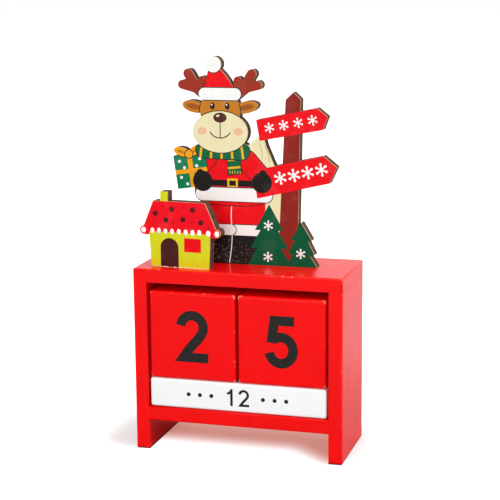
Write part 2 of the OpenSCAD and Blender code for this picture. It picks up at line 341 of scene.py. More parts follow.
@dataclass(frozen=True)
class BrushedPaint:
    """Brushed paint over wood that has worn pale along the arrises of a box.

    Attributes:
        colour: The paint.
        deep: The paint where it lies thick.
        worn: What shows where it has worn.
        roughness: Mean roughness.
        gloss: Specular level.
        streak_depth: Depth of the brush strokes.
        pit_share: How far the pits of the wood darken the paint.
        pit_shade: Brightness of a pit, as a share of the thick paint's.
        wear_from: Distance from an arris at which wear begins.
        wear_full: Distance from an arris at which wear is full.
        wear_share: Noise level above which a worn arris shows.
        wear_step: From there to the level at which it shows fully.
        corner_r: Reach of the heavier wear round a corner.
        corner_wear: How much more the paint wears at a corner.
        soil_h: Height of the painted shade along the foot, where it stands on a table.
        soil_shade: Brightness of that painted shade, as a share of the thick paint's.
        seam_w: Half width of the line that a joint leaves in the paint.
        seam_depth: How far the paint dips along it.
        seam_shade: Brightness of the line, as a share of the thick paint's.
        streaks: Brush strokes to the metre, along the grain and across it.
        pits: Pits to the metre, along the grain and across it.
        clouds: Slow changes in how thick the paint lies.
        peel: Fine unevenness of the dried paint.
        chips: Chips along an arris.
        chip_runs: Stretches of an arris with many chips or few.
    """

    colour: Colour
    deep: Colour
    worn: Colour
    roughness: float = 0.22
    gloss: float = 0.15
    streak_depth: float = 0.03
    pit_share: float = 0.0
    pit_shade: float = 0.5
    wear_from: float = 0.9
    wear_full: float = 0.2
    wear_share: float = 0.56
    wear_step: float = 0.08
    corner_r: float = 3.5
    corner_wear: float = 0.22
    soil_h: float = 0.0
    soil_shade: float = 0.12
    seam_w: float = 0.45
    seam_depth: float = 0.12
    seam_shade: float = 0.35
    streaks: Pair = (34.0, 760.0)
    pits: Pair = (330.0, 1250.0)
    clouds: Noise = Noise(38.0, 2.0)
    peel: Noise = Noise(1100.0, 2.0)
    chips: Noise = Noise(640.0, 3.0, 0.7)
    chip_runs: Noise = Noise(90.0)

    def _wear(self, graph: Graph, place: Socket, low: Vector, high: Vector) -> Socket:
        """How far the paint has worn at a place on a box's surface, most of all at its corners.

        Args:
            graph: The material's nodes.
            place: The place, in metres.
            low: The box's lowest corner.
            high: The box's highest corner.

        Returns:
            The wear, from 0 to 1.
        """
        reach = []
        for axis, value in enumerate(graph.axes(place)):
            middle, half = (low[axis] + high[axis]) / 2, (high[axis] - low[axis]) / 2
            reach.append(half - abs(value - middle))
        x, y, z = reach
        arris = x.least(y).most(x.most(y).least(z)).rise(self.wear_from * MM, self.wear_full * MM)
        corner = x.most(y).most(z).rise(self.corner_r * MM, 0.0)
        chance = 0.6 * self.chips.at(graph, place) + 0.4 * self.chip_runs.at(graph, place)
        shown = (chance + self.corner_wear * corner).rise(self.wear_share, self.wear_share + self.wear_step)
        return arris * shown

    def _seam(self, graph: Graph, place: Socket, end_x: float, height: float) -> Socket:
        """The line of a joint that shows on the two ends of a box.

        Args:
            graph: The material's nodes.
            place: The place, in metres.
            end_x: Distance of an end from the box's middle, in metres.
            height: Height of the joint, in metres.

        Returns:
            The line, from 0 to 1.
        """
        x, _, z = graph.axes(place)
        ends = abs(x).rise(end_x - self.seam_w * MM, end_x - 0.1 * MM)
        return abs(z - height).rise(self.seam_w * MM, 0.0) * ends

    def material(
        self, name: str, grain: Grain, low: Vector, high: Vector, seam_z: Optional[float] = None
    ) -> bpy.types.Material:
        """Makes the paint for a piece or for pieces that are painted as one box.

        Args:
            name: The material's name.
            grain: Direction of the strokes.
            low: Lowest corner of the box, in metres.
            high: Highest corner of the box, in metres.
            seam_z: Height of a joint that shows on the box's two ends, in metres.

        Returns:
            The material.
        """
        graph = MaterialGraph(name)
        place = graph.place()
        streak = Noise(grain.stretched(*self.streaks), 4.0, 0.6).at(graph, place)
        cloud = self.clouds.at(graph, place)
        peel = self.peel.at(graph, place)
        pits = Noise(grain.stretched(*self.pits), 2.0, step=(0.56, 0.68)).at(graph, place)
        thick = (0.5 * streak + 0.5 * cloud).rise(0.36, 0.66)
        smooth = graph.blend(thick, self.colour, self.deep)
        painted = graph.blend(self.pit_share * pits, smooth, shaded(self.deep, self.pit_shade))
        # Painted shade: the paint darkens towards the foot, standing in for the contact shadow on the
        # table.
        if self.soil_h:
            rim = (graph.axes(place)[2] - low.z).rise(self.soil_h * MM, 0.0)
            painted = graph.blend(rim, painted, shaded(self.deep, self.soil_shade))
        worn = self._wear(graph, place, low, high)
        relief = 0.5 * streak + 0.3 * peel - 0.6 * pits - 0.5 * worn
        if seam_z is not None:
            line = self._seam(graph, place, high.x, seam_z)
            dirt = 0.4 * line * cloud.rise(0.2, 0.7)
            painted = graph.blend(dirt, painted, shaded(self.deep, self.seam_shade))
            relief = relief - self.seam_depth / self.streak_depth * line
        return graph.surface(
            {
                "Base Color": graph.blend(worn, painted, self.worn),
                "Roughness": self.roughness + 0.35 * (streak - 0.5) + 0.2 * worn,
                "Specular IOR Level": self.gloss,
                "Normal": graph.bump(relief, self.streak_depth),
            }
        )


@dataclass(frozen=True)
class MottledCoat:
    """A plain coat or metal of two tones, mottled in its colour, its gloss and its height.

    Attributes:
        colour: Its main tone.
        spot: The tone of its spots.
        mottle: Where the spots are.
        step: Levels of the mottle between which the main tone turns to the other.
        roughness: Roughness where the mottle is lowest.
        swing: How much rougher it is where the mottle is highest.
        depth: Depth of the mottle.
        gloss: Specular level.
        metallic: 1 for a metal.
    """

    colour: Colour
    spot: Colour
    mottle: Noise = Noise(700.0, 2.0)
    step: Pair = (0.4, 0.8)
    roughness: float = 0.28
    swing: float = 0.15
    depth: float = 0.03
    gloss: float = 0.5
    metallic: float = 0.0

    def material(self, name: str) -> bpy.types.Material:
        """Makes the coat.

        Args:
            name: The material's name.

        Returns:
            The material.
        """
        graph = MaterialGraph(name)
        mottle = self.mottle.at(graph, graph.place())
        return graph.surface(
            {
                "Base Color": graph.blend(mottle.rise(*self.step), self.colour, self.spot),
                "Metallic": self.metallic,
                "Roughness": self.roughness + self.swing * mottle,
                "Specular IOR Level": self.gloss,
                "Normal": graph.bump(mottle, self.depth),
            }
        )


@dataclass(frozen=True)
class PrintInk:
    """Screen print on plywood: each face's own ink, with the wood's grain and a fine mesh in it.

    Attributes:
        roughness: Mean roughness.
        gloss: Specular level.
        hollow_shade: Brightness of the ink in the hollows of the grain.
        mesh_pitch: From one thread of the mesh to the next.
        mesh_sway: How far the threads wander.
        grain_depth: Depth of the grain.
        grain: The wood's upright grain.
        clouds: Where the mesh shows and where it doesn't.
        dust: Pale specks.
    """

    roughness: float = 0.36
    gloss: float = 0.07
    hollow_shade: float = 0.93
    mesh_pitch: float = 1.05
    mesh_sway: float = 0.5
    grain_depth: float = 0.03
    grain: Noise = Noise((900.0, 900.0, 60.0), 3.0, 0.6)
    clouds: Noise = Noise(120.0)
    dust: Noise = Noise(2300.0, 2.0, 0.6, (0.7, 0.76))

    def material(self, name: str) -> bpy.types.Material:
        """Makes the print, which reads the faces' ink attribute.

        Args:
            name: The material's name.

        Returns:
            The material.
        """
        graph = MaterialGraph(name)
        place = graph.place()
        ink = graph.node("ShaderNodeAttribute", {"attribute_name": Sheet.INK}, output="Color")
        grain = self.grain.at(graph, place)
        cloud = self.clouds.at(graph, place)
        dust = self.dust.at(graph, place)
        warp, weft = (graph.bands(place, axis, self.mesh_pitch, self.mesh_sway) for axis in "XZ")
        hatch = warp.most(weft).rise(0.8, 1.0) * cloud.rise(0.5, 0.66)
        shade = (0.65 * grain + 0.35 * cloud).rise(0.25, 0.8)
        hollow = graph.node("ShaderNodeHueSaturation", values={"Value": self.hollow_shade, "Color": ink})
        flat = graph.blend(shade, hollow, ink)
        pale = graph.blend(0.35, ink, Ink.WHITE.colour)
        return graph.surface(
            {
                "Base Color": graph.blend(0.1 * hatch + 0.4 * dust, flat, pale),
                "Roughness": self.roughness + 0.18 * (cloud - 0.5),
                "Specular IOR Level": self.gloss,
                "Normal": graph.bump(0.6 * grain + 0.4 * hatch, self.grain_depth),
            }
        )


@dataclass(frozen=True)
class ScorchedEdge:
    """Cut edge of plywood: a pale face veneer, then dark scorched layers with burn marks.

    Attributes:
        veneer: The face veneer.
        scorched: The layers behind it.
        charred: Their burn marks.
        veneer_t: Thickness of the face veneer.
        veneer_sway: How far its edge wavers.
        layer_pitch: From one layer to the next.
        roughness: Mean roughness.
        gloss: Specular level.
        burn_depth: Depth of the burn marks.
        burns: The burn marks, across the edge.
        waver: The unevenness of the veneer's edge.
    """

    veneer: Colour
    scorched: Colour
    charred: Colour
    veneer_t: float = 1.15
    veneer_sway: float = 0.6
    layer_pitch: float = 2.027
    roughness: float = 0.72
    gloss: float = 0.2
    burn_depth: float = 0.06
    burns: Noise = Noise((1300.0, 120.0, 1300.0), 3.0, 0.6)
    waver: Noise = Noise(260.0)

    def material(self, name: str, seat: Seat) -> bpy.types.Material:
        """Makes the edge of a cut-out.

        Args:
            name: The material's name.
            seat: Where the cut-out stands.

        Returns:
            The material.
        """
        graph = MaterialGraph(name)
        local = seat.local(graph)
        _, depth, _ = graph.axes(local)
        burn = self.burns.at(graph, local)
        sway = self.veneer_sway * MM * (self.waver.at(graph, local) - 0.5)
        layers = graph.bands(local, "Y", self.layer_pitch)
        rim = (depth + sway).rise(self.veneer_t * MM, 0.55 * self.veneer_t * MM)
        dark = graph.blend((0.7 * burn + 0.3 * layers).rise(0.3, 0.75), self.charred, self.scorched)
        return graph.surface(
            {
                "Base Color": graph.blend(rim, dark, self.veneer),
                "Roughness": self.roughness + 0.2 * (burn - 0.5),
                "Specular IOR Level": self.gloss,
                "Normal": graph.bump(burn, self.burn_depth),
            }
        )


@dataclass(frozen=True)
class BarePly:
    """Bare veneer on the back of a cut-out, with upright grain and darker pores.

    Attributes:
        pale: The wood between its darker grain.
        dark: The grain.
        pore: The pores.
        roughness: Mean roughness.
        depth: Depth of the fibres.
        figure: The broad run of the grain.
        fibres: The fine fibres.
        pores: Where the pores are.
    """

    pale: Colour
    dark: Colour
    pore: Colour
    roughness: float = 0.62
    depth: float = 0.04
    figure: Noise = Noise((150.0, 150.0, 12.0), 4.0)
    fibres: Noise = Noise((2200.0, 2200.0, 60.0))
    pores: Noise = Noise((1500.0, 1500.0, 130.0), 1.0, step=(0.66, 0.74))

    def material(self, name: str) -> bpy.types.Material:
        """Makes the veneer.

        Args:
            name: The material's name.

        Returns:
            The material.
        """
        graph = MaterialGraph(name)
        place = graph.place()
        figure = self.figure.at(graph, place)
        fibre = self.fibres.at(graph, place)
        pores = self.pores.at(graph, place)
        wood = graph.blend((0.6 * figure + 0.4 * fibre).rise(0.35, 0.65), self.pale, self.dark)
        return graph.surface(
            {
                "Base Color": graph.blend(0.6 * pores, wood, self.pore),
                "Roughness": self.roughness + 0.2 * (fibre - 0.5),
                "Normal": graph.bump(fibre - 0.6 * pores, self.depth),
            }
        )


class Ink(Enum):
    """Inks of the prints, as 8-bit sRGB levels."""

    LINE = (44, 30, 26)
    WHITE = (250, 250, 247)
    RED = (240, 8, 22)
    POST = (140, 34, 24)
    ANTLER = (158, 50, 32)
    TAN = (198, 124, 36)
    EAR = (160, 88, 30)
    CREAM = (238, 229, 184)
    FOLD = (206, 190, 140)
    CHEEK = (240, 190, 150)
    NOSE = (84, 40, 30)
    SCARF = (14, 100, 60)
    YELLOW = (240, 184, 40)
    GIFT = (10, 124, 84)
    RIBBON = (245, 165, 16)
    BLACK = (26, 21, 19)
    SPECK = (186, 182, 174)
    FIR = (4, 86, 52)
    LIME = (216, 217, 30)
    DOOR = (70, 29, 28)
    ROOF = (244, 14, 32)
    SPOT = (88, 24, 30)

    @property
    def colour(self) -> Colour:
        """The ink as a linear colour."""
        return srgb(*self.value)


# Limits that keep a mitre short at a sharp bend of a stroke and at a sharp corner of an outline.
SHARPEST_BEND = 0.4
SHARPEST_CORNER = 0.5


def ellipse(mid: Pair, radii: Pair, tilt: float = 0.0, steps: int = 72) -> Outline:
    """Points of an ellipse.

    Args:
        mid: Its middle.
        radii: Its half width and half height.
        tilt: Its turn in degrees.
        steps: How many points.

    Returns:
        The outline.
    """
    turn = Matrix.Rotation(math.radians(tilt), 2)
    made = []
    for step in range(steps):
        angle = math.tau * step / steps
        reach = Vector((radii[0] * math.cos(angle), radii[1] * math.sin(angle)))
        made.append(Vector(mid) + turn @ reach)
    return made


def disc(mid: Pair, radius: float, steps: int = 28) -> Outline:
    """Points of a circle."""
    return ellipse(mid, (radius, radius), 0.0, steps)


def capsule(start: Pair, end: Pair, radius: float, steps: int = 18) -> Outline:
    """Points of a bar with round ends.

    Args:
        start: Middle of one end.
        end: Middle of the other end.
        radius: Its half width.
        steps: Steps round each end.

    Returns:
        The outline.
    """
    way = math.atan2(end[1] - start[1], end[0] - start[0])
    points = []
    for mid, first in ((end, way - math.pi / 2), (start, way + math.pi / 2)):
        for step in range(steps + 1):
            angle = first + math.pi * step / steps
            points.append(Vector(mid) + radius * Vector((math.cos(angle), math.sin(angle))))
    return points


def polygon(points: Iterable[Pair]) -> Outline:
    """Outline through the given corners."""
    return [Vector(point) for point in points]


def rectangle(low: Pair, high: Pair) -> Outline:
    """Outline of an upright rectangle from its lowest to its highest corner."""
    return polygon([low, (high[0], low[1]), high, (low[0], high[1])])


def curve_point(points: list[Vector], share: float) -> Vector:
    """Finds a point of a smooth curve from the second to the third of four points.

    Args:
        points: The four points.
        share: How far along, from 0 to 1.

    Returns:
        The point.
    """
    a, b, c, d = points
    cubic = 3 * b - a - 3 * c + d
    return b + share / 2 * (c - a + share * (2 * a - 5 * b + 4 * c - d + share * cubic))


def loop(points: Iterable[Pair], steps: int = 12) -> Outline:
    """Points of a smooth closed curve.

    Args:
        points: What it passes through.
        steps: Steps from one of them to the next.

    Returns:
        The outline.
    """
    given = polygon(points)
    count = len(given)
    made = []
    for first in range(count):
        four = [given[(first + shift) % count] for shift in (-1, 0, 1, 2)]
        made.extend(curve_point(four, step / steps) for step in range(steps))
    return made


def path(points: Iterable[Pair], steps: int = 10) -> Outline:
    """Points of a smooth open curve.

    Args:
        points: What it passes through.
        steps: Steps from one of them to the next.

    Returns:
        The curve.
    """
    given = polygon(points)
    padded = [2 * given[0] - given[1], *given, 2 * given[-1] - given[-2]]
    made = []
    for first in range(len(given) - 1):
        made.extend(curve_point(padded[first : first + 4], step / steps) for step in range(steps))
    return [*made, given[-1]]


def arc(mid: Pair, radii: Pair, start: float, end: float, steps: int = 24) -> list[Pair]:
    """Points of a stretch of an ellipse.

    Args:
        mid: The ellipse's middle.
        radii: Its half width and half height.
        start: Angle of the first point, in degrees.
        end: Angle of the last point, in degrees.
        steps: Steps between them.

    Returns:
        The points, with both ends.
    """
    angles = [math.radians(start + (end - start) * step / steps) for step in range(steps + 1)]
    return [(mid[0] + radii[0] * math.cos(a), mid[1] + radii[1] * math.sin(a)) for a in angles]


def ribbon(line: Outline, width: float, caps: tuple[bool, bool] = (False, False)) -> Outline:
    """Outline of a stroke of even width.

    Args:
        line: The middle of the stroke.
        width: Its width.
        caps: Whether its start and its end run on by half its width.

    Returns:
        The outline.
    """
    first, last = (line[0] - line[1]).normalized(), (line[-1] - line[-2]).normalized()
    start, end = line[0] + caps[0] * width / 2 * first, line[-1] + caps[1] * width / 2 * last
    middle = [start, *line[1:-1], end]
    left, right = [], []
    for index, point in enumerate(middle):
        before = (point - middle[index - 1]).normalized() if index else None
        after = (middle[index + 1] - point).normalized() if index + 1 < len(middle) else None
        ways = [way for way in (before, after) if way is not None]
        normals = [Vector((-way.y, way.x)) for way in ways]
        aim = sum(normals[1:], normals[0].copy()).normalized()
        reach = width / 2 / max(aim.dot(normals[0]), SHARPEST_BEND)
        left.append(point + reach * aim)
        right.append(point - reach * aim)
    return right + left[::-1]


def strip(start: Pair, end: Pair, width: float) -> Outline:
    """Outline of a straight strip with square ends."""
    return ribbon(polygon([start, end]), width)


def signed_area(outline: Outline) -> float:
    """Area of an outline, under zero if it runs clockwise."""
    pairs = zip(outline, outline[1:] + outline[:1])
    return sum(a.x * b.y - b.x * a.y for a, b in pairs) / 2


def wound(outline: Outline) -> Outline:
    """The outline, running counter-clockwise."""
    return outline if signed_area(outline) > 0 else outline[::-1]


def grown(outline: Outline, distance: float) -> Outline:
    """Moves an outline outwards.

    Args:
        outline: The outline.
        distance: How far, or under zero for inwards.

    Returns:
        The moved outline.
    """
    ring = wound(outline)
    made = []
    for index, point in enumerate(ring):
        before = (point - ring[index - 1]).normalized()
        after = (ring[(index + 1) % len(ring)] - point).normalized()
        normals = [Vector((way.y, -way.x)) for way in (before, after)]
        aim = normals[0] + normals[1]
        made.append(point + distance * aim / max(1 + normals[0].dot(normals[1]), SHARPEST_CORNER))
    return made


def moved(outline: Outline, shift: Pair, tilt: float = 0.0) -> Outline:
    """An outline turned about its origin by tilt degrees and then shifted."""
    turn = Matrix.Rotation(math.radians(tilt), 2)
    return [turn @ point + Vector(shift) for point in outline]


def mirrored(outline: Outline) -> Outline:
    """An outline with left and right exchanged."""
    return [Vector((-point.x, point.y)) for point in outline]


def both(outline: Outline, mid: Pair) -> list[Outline]:
    """An outline and its mirror image, shifted so that they flank a middle."""
    return [moved(half, mid) for half in (outline, mirrored(outline))]


def fir(mid: float, height: float, levels: Triple, reach: Triple, notch: Pair) -> Outline:
    """Points of a tiered fir tree.

    Args:
        mid: Its upright middle line.
        height: Its height.
        levels: Height of each tier's foot, from the top tier down.
        reach: Half width at each tier's foot.
        notch: Half width of the next tier where it comes out from under each tier.

    Returns:
        The outline.
    """
    side = [(reach[-1], levels[-1])]
    for tier in reversed(range(len(levels) - 1)):
        side += [(notch[tier], levels[tier]), (reach[tier], levels[tier])]
    right = [(mid + half, level) for half, level in side]
    left = [(mid - half, level) for half, level in reversed(side)]
    return polygon([*right, (mid, height), *left])


def snowflake(mid: Pair, radius: float, tilt: float = 0.0) -> list[Outline]:
    """Outlines of a plain snow star: three crossed bars with round tips.

    Args:
        mid: Its middle.
        radius: From its middle to the middle of a tip.
        tilt: Its turn in degrees.

    Returns:
        The outlines of the bars and tips.
    """
    parts = []
    for bar in range(3):
        angle = math.radians(90 + tilt + 60 * bar)
        way = radius * Vector((math.cos(angle), math.sin(angle)))
        ends = [tuple(Vector(mid) + way), tuple(Vector(mid) - way)]
        parts.append(capsule(ends[0], ends[1], 0.16 * radius, 8))
        parts += [disc(end, 0.25 * radius, 16) for end in ends]
    return parts


@dataclass
class Patch:
    """A region of a sheet.

    Attributes:
        outline: Its outline.
        ink: Its ink, or none for a hole.
        core: Whether wood backs it.
    """

    outline: Outline
    ink: Optional[Ink]
    core: bool


class Sheet:
    """Painted regions in one plane, laid one over another, that become one solid.

    Attributes:
        INK: Name of the faces' colour attribute.
        MERGE: Distance at which points of the outlines merge.
        INSIDE: The triangulation's choice of what lies inside the outlines.
        FRONT_SLOT: Material slot of the printed face.
        EDGE_SLOT: Material slot of the edges.
        BACK_SLOT: Material slot of the back.
    """

    INK: ClassVar[str] = "ink"
    MERGE: ClassVar[float] = 1e-3
    INSIDE: ClassVar[int] = 1
    FRONT_SLOT: ClassVar[int] = 0
    EDGE_SLOT: ClassVar[int] = 1
    BACK_SLOT: ClassVar[int] = 2

    def __init__(self) -> None:
        """Starts with no region."""
        self.patches: list[Patch] = []

    def paint(self, outline: Outline, ink: Ink, line: float = 0.0) -> None:
        """Lays a region that belongs to the solid.

        Args:
            outline: Its outline.
            ink: Its ink.
            line: Width of the dark line that it leaves round it on what it covers.
        """
        if line:
            self.mark(grown(outline, line), Ink.LINE)
        self.patches.append(Patch(wound(outline), ink, True))

    def mark(self, outline: Outline, ink: Ink) -> None:
        """Prints a region on what is already there, and nowhere else."""
        self.patches.append(Patch(wound(outline), ink, False))

    def cut(self, outline: Outline) -> None:
        """Leaves a hole."""
        self.patches.append(Patch(wound(outline), None, False))

    def _regions(self) -> tuple[list[Vector], list[tuple[list[int], Ink]]]:
        """Splits the regions into triangles.

        Returns:
            The points, and the triangles with the topmost ink of each.
        """
        points: list[Vector] = []
        rings: list[list[int]] = []
        for patch in self.patches:
            rings.append(list(range(len(points), len(points) + len(patch.outline))))
            points.extend(patch.outline)
        found = delaunay_2d_cdt(points, [], rings, self.INSIDE, self.MERGE)
        places, _, faces, _, _, owners = found
        kept = []
        for face, layers in zip(faces, owners):
            if not any(self.patches[layer].core for layer in layers):
                continue
            ink = self.patches[max(layers)].ink
            if ink is not None:
                kept.append((list(face), ink))
        return places, kept

    def solid(self, name: str, place: Placer, near: float, far: float) -> bpy.types.Mesh:
        """Makes a closed plate of the regions.

        Args:
            name: The mesh's name.
            place: Gives a point in metres for a place across, a place up and a depth.
            near: Depth of the printed face.
            far: Depth of the other face.

        Returns:
            The mesh, with material slots for its printed face, its edges and its back.
        """
        points, regions = self._regions()
        used = sorted({corner for face, _ in regions for corner in face})
        order = {corner: index for index, corner in enumerate(used)}
        front = [[order[corner] for corner in face] for face, _ in regions]
        count = len(used)
        steps = {(face[k], face[(k + 1) % 3]) for face in front for k in range(3)}
        rim = sorted(step for step in steps if step[::-1] not in steps)
        walls = [[a, a + count, b + count, b] for a, b in rim]
        back = [[corner + count for corner in reversed(face)] for face in front]
        places = [place(*points[corner], depth) for depth in (near, far) for corner in used]
        mesh = bpy.data.meshes.new(name)
        mesh.from_pydata(places, [], front + walls + back)
        slots = [self.FRONT_SLOT] * len(front)
        slots += [self.EDGE_SLOT] * len(walls)
        slots += [self.BACK_SLOT] * len(back)
        mesh.polygons.foreach_set("material_index", slots)
        inks = [ink.colour for _, ink in regions]
        inks += [Ink.CREAM.colour] * (len(walls) + len(back))
        colours = mesh.attributes.new(self.INK, "FLOAT_COLOR", "FACE")
        colours.data.foreach_set("color", [level for colour in inks for level in colour])
        smooth_between(mesh)
        return mesh


def smooth_between(mesh: bpy.types.Mesh, angle: float = 32.0) -> None:
    """Smooths a mesh but for its sharp edges.

    Args:
        mesh: The mesh.
        angle: Turn from which an edge is sharp, in degrees.
    """
    mesh.polygons.foreach_set("use_smooth", [True] * len(mesh.polygons))
    mesh.set_sharp_from_angle(angle=math.radians(angle))
    mesh.update()


def add_piece(
    name: str,
    mesh: bpy.types.Mesh,
    materials: list[bpy.types.Material],
    body: str,
    slot: str,
    nodes: tuple[str, ...] = (),
) -> bpy.types.Object:
    """Adds a finished piece.

    Args:
        name: The piece's name.
        mesh: Its mesh, in the row frame.
        materials: Its material slots.
        body: The body that it rides on.
        slot: Name of a material slot; it is not used.
        nodes: The nodes that it stands for.

    Returns:
        The object.
    """
    for material in materials[len(mesh.materials) :]:
        mesh.materials.append(material)
    piece = bpy.data.objects.new(name, mesh)
    bpy.context.scene.collection.objects.link(piece)
    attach(piece, body)
    if nodes:
        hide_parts(*nodes)
    LOG.info("%s: %d faces on %s", name, len(mesh.polygons), body)
    return piece


def repaint(node: bpy.types.Object, material: bpy.types.Material) -> None:
    """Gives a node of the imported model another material."""
    for slot in node.material_slots:
        slot.material = material


class Side(Enum):
    """A face of a box, as its axis and the sign of its outward direction."""

    LEFT = (0, -1)
    RIGHT = (0, 1)
    FRONT = (1, -1)
    REAR = (1, 1)
    UNDER = (2, -1)
    TOP = (2, 1)


# Bevel profile of a round arris, and the level of a normal along an axis from which a face is flat.
ROUND_PROFILE = 0.5
FLAT_LEVEL = 0.999


def eased_box(
    low: Vector, high: Vector, ease: float, joined: frozenset[Side] = frozenset(), steps: int = 4
) -> bmesh.types.BMesh:
    """A box with rounded arrises.

    Args:
        low: Its lowest corner, in metres.
        high: Its highest corner, in metres.
        ease: Radius of its arrises.
        joined: Faces that meet other boards, whose arrises stay sharp.
        steps: Steps round an arris.

    Returns:
        The box, with its flat faces flat and its arrises smooth.
    """
    made = bmesh.new()
    bmesh.ops.create_cube(made, size=1.0)
    middle, size = (low + high) / 2, high - low
    for vertex in made.verts:
        vertex.co = Vector(middle[axis] + vertex.co[axis] * size[axis] for axis in range(3))
    made.normal_update()
    closed = {side.value for side in joined}

    def face_of(face: bmesh.types.BMFace) -> tuple[int, int]:
        """Axis and sign of a box face."""
        axis = max(range(3), key=lambda index: abs(face.normal[index]))
        return axis, 1 if face.normal[axis] > 0 else -1

    free = [edge for edge in made.edges if closed.isdisjoint(map(face_of, edge.link_faces))]
    bmesh.ops.bevel(
        made,
        geom=free,
        offset=ease * MM,
        segments=steps,
        profile=ROUND_PROFILE,
        affect="EDGES",
        clamp_overlap=True,
    )
    made.normal_update()
    for face in made.faces:
        face.smooth = max(abs(level) for level in face.normal) < FLAT_LEVEL
    return made


def to_mesh(made: bmesh.types.BMesh, name: str) -> bpy.types.Mesh:
    """Turns a bmesh into a mesh and frees it.

    Args:
        made: The bmesh.
        name: The mesh's name.

    Returns:
        The mesh.
    """
    mesh = bpy.data.meshes.new(name)
    made.to_mesh(mesh)
    made.free()
    return mesh


def evaluated(item: bpy.types.Object) -> bpy.types.Mesh:
    """A plain mesh of an object with its modifiers applied."""
    graph = bpy.context.evaluated_depsgraph_get()
    return bpy.data.meshes.new_from_object(item.evaluated_get(graph), depsgraph=graph)


def without_box(mesh: bpy.types.Mesh, low: Vector, high: Vector) -> bpy.types.Mesh:
    """Cuts a box out of a mesh.

    Args:
        mesh: The mesh to cut.
        low: The box's lowest corner, in metres.
        high: The box's highest corner, in metres.

    Returns:
        The cut mesh.
    """
    sharp = eased_box(low, high, 0.0, frozenset(Side))
    tool = bpy.data.objects.new("cutter", to_mesh(sharp, "cutter"))
    blank = bpy.data.objects.new("blank", mesh)
    for item in (tool, blank):
        bpy.context.scene.collection.objects.link(item)
    cut = blank.modifiers.new("cut", "BOOLEAN")
    cut.operation = "DIFFERENCE"
    cut.solver = "EXACT"
    cut.object = tool
    made = evaluated(blank)
    for item in (blank, tool):
        bpy.data.objects.remove(item)
    return made


@dataclass
class Carcass:
    """The frame: side panels with legs, top board, shelf and back panel, painted after assembly.

    Attributes:
        arris: Radius of the outer arrises.
        rebate_past: How far the cutter of a rebate runs past the board.
        paint: The lacquer.
        body: The body that it is.
        joined: The boards, each with the faces that meet other boards.
    """

    arris: float = 0.7
    rebate_past: float = 1.0
    paint: BrushedPaint = BrushedPaint(
        srgb(252, 5, 7),
        srgb(238, 4, 6),
        srgb(255, 120, 96),
        streak_depth=0.015,
        corner_r=0.5,
        pit_share=0.18,
        # Painted shade along the foot of the legs.
        soil_h=1.6,
    )
    body: str = "frame"
    joined: dict[str, frozenset[Side]] = field(
        default_factory=lambda: {
            "side_panel_left": frozenset({Side.TOP, Side.RIGHT}),
            "side_panel_right": frozenset({Side.TOP, Side.LEFT}),
            "top_board": frozenset({Side.UNDER}),
            "bottom_shelf": frozenset({Side.LEFT, Side.RIGHT, Side.REAR}),
        }
    )

    def build(self, nodes: Nodes) -> None:
        """Makes the boards and paints the back panel.

        Args:
            nodes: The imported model's nodes.
        """
        low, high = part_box("side_panel_left")[0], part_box("top_board")[1]
        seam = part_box("top_board")[0].z
        upright = self.paint.material("frame_lacquer_upright", Grain.ALONG_Z, low, high, seam)
        level = self.paint.material("frame_lacquer_level", Grain.ALONG_X, low, high, seam)
        for node, joined in self.joined.items():
            mesh = to_mesh(eased_box(*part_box(node), self.arris, joined), node)
            is_side = node.startswith("side")
            if is_side:
                mesh = self._rebated(mesh)
            paint = upright if is_side else level
            add_piece(f"{node}_lacquered", mesh, [paint], self.body, "red_lacquer", (node,))
        repaint(nodes["back_panel"], upright)

    def _rebated(self, mesh: bpy.types.Mesh) -> bpy.types.Mesh:
        """Cuts the back panel's rebate into a side panel.

        Args:
            mesh: The side panel.

        Returns:
            The cut side panel.
        """
        low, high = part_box("back_panel")
        past = Vector((0.0, 1.0, 1.0)) * self.rebate_past * MM
        return without_box(mesh, low, high + past)


@dataclass(frozen=True)
class Seat:
    """Where an upright cut-out stands: the foot of its printed face and its turn.

    Attributes:
        foot: Middle of the foot of the printed face, in metres.
        turn: Turn about the upright, in degrees.
    """

    foot: Vector
    turn: float = 0.0

    def point(self, across: float, up: float, depth: float) -> Vector:
        """Point in metres of a place on the cut-out.

        Args:
            across: Distance to the right of its middle.
            up: Height above its foot.
            depth: Distance behind its printed face.

        Returns:
            The point in the row frame.
        """
        return self.foot + self._matrix() @ (MM * Vector((across, depth, up)))

    def local(self, graph: Graph) -> Socket:
        """Reads a place on the cut-out in a material.

        Args:
            graph: The material's nodes.

        Returns:
            The place, in metres from the cut-out's foot.
        """
        back = self._matrix().inverted()
        values = {
            "Vector": graph.place(),
            "Location": tuple(-(back @ self.foot)),
            "Rotation": tuple(back.to_euler()),
        }
        return graph.node("ShaderNodeMapping", {"vector_type": "POINT"}, values)

    def _matrix(self) -> Matrix:
        """Its turn as a matrix."""
        return Matrix.Rotation(math.radians(self.turn), 3, "Z")


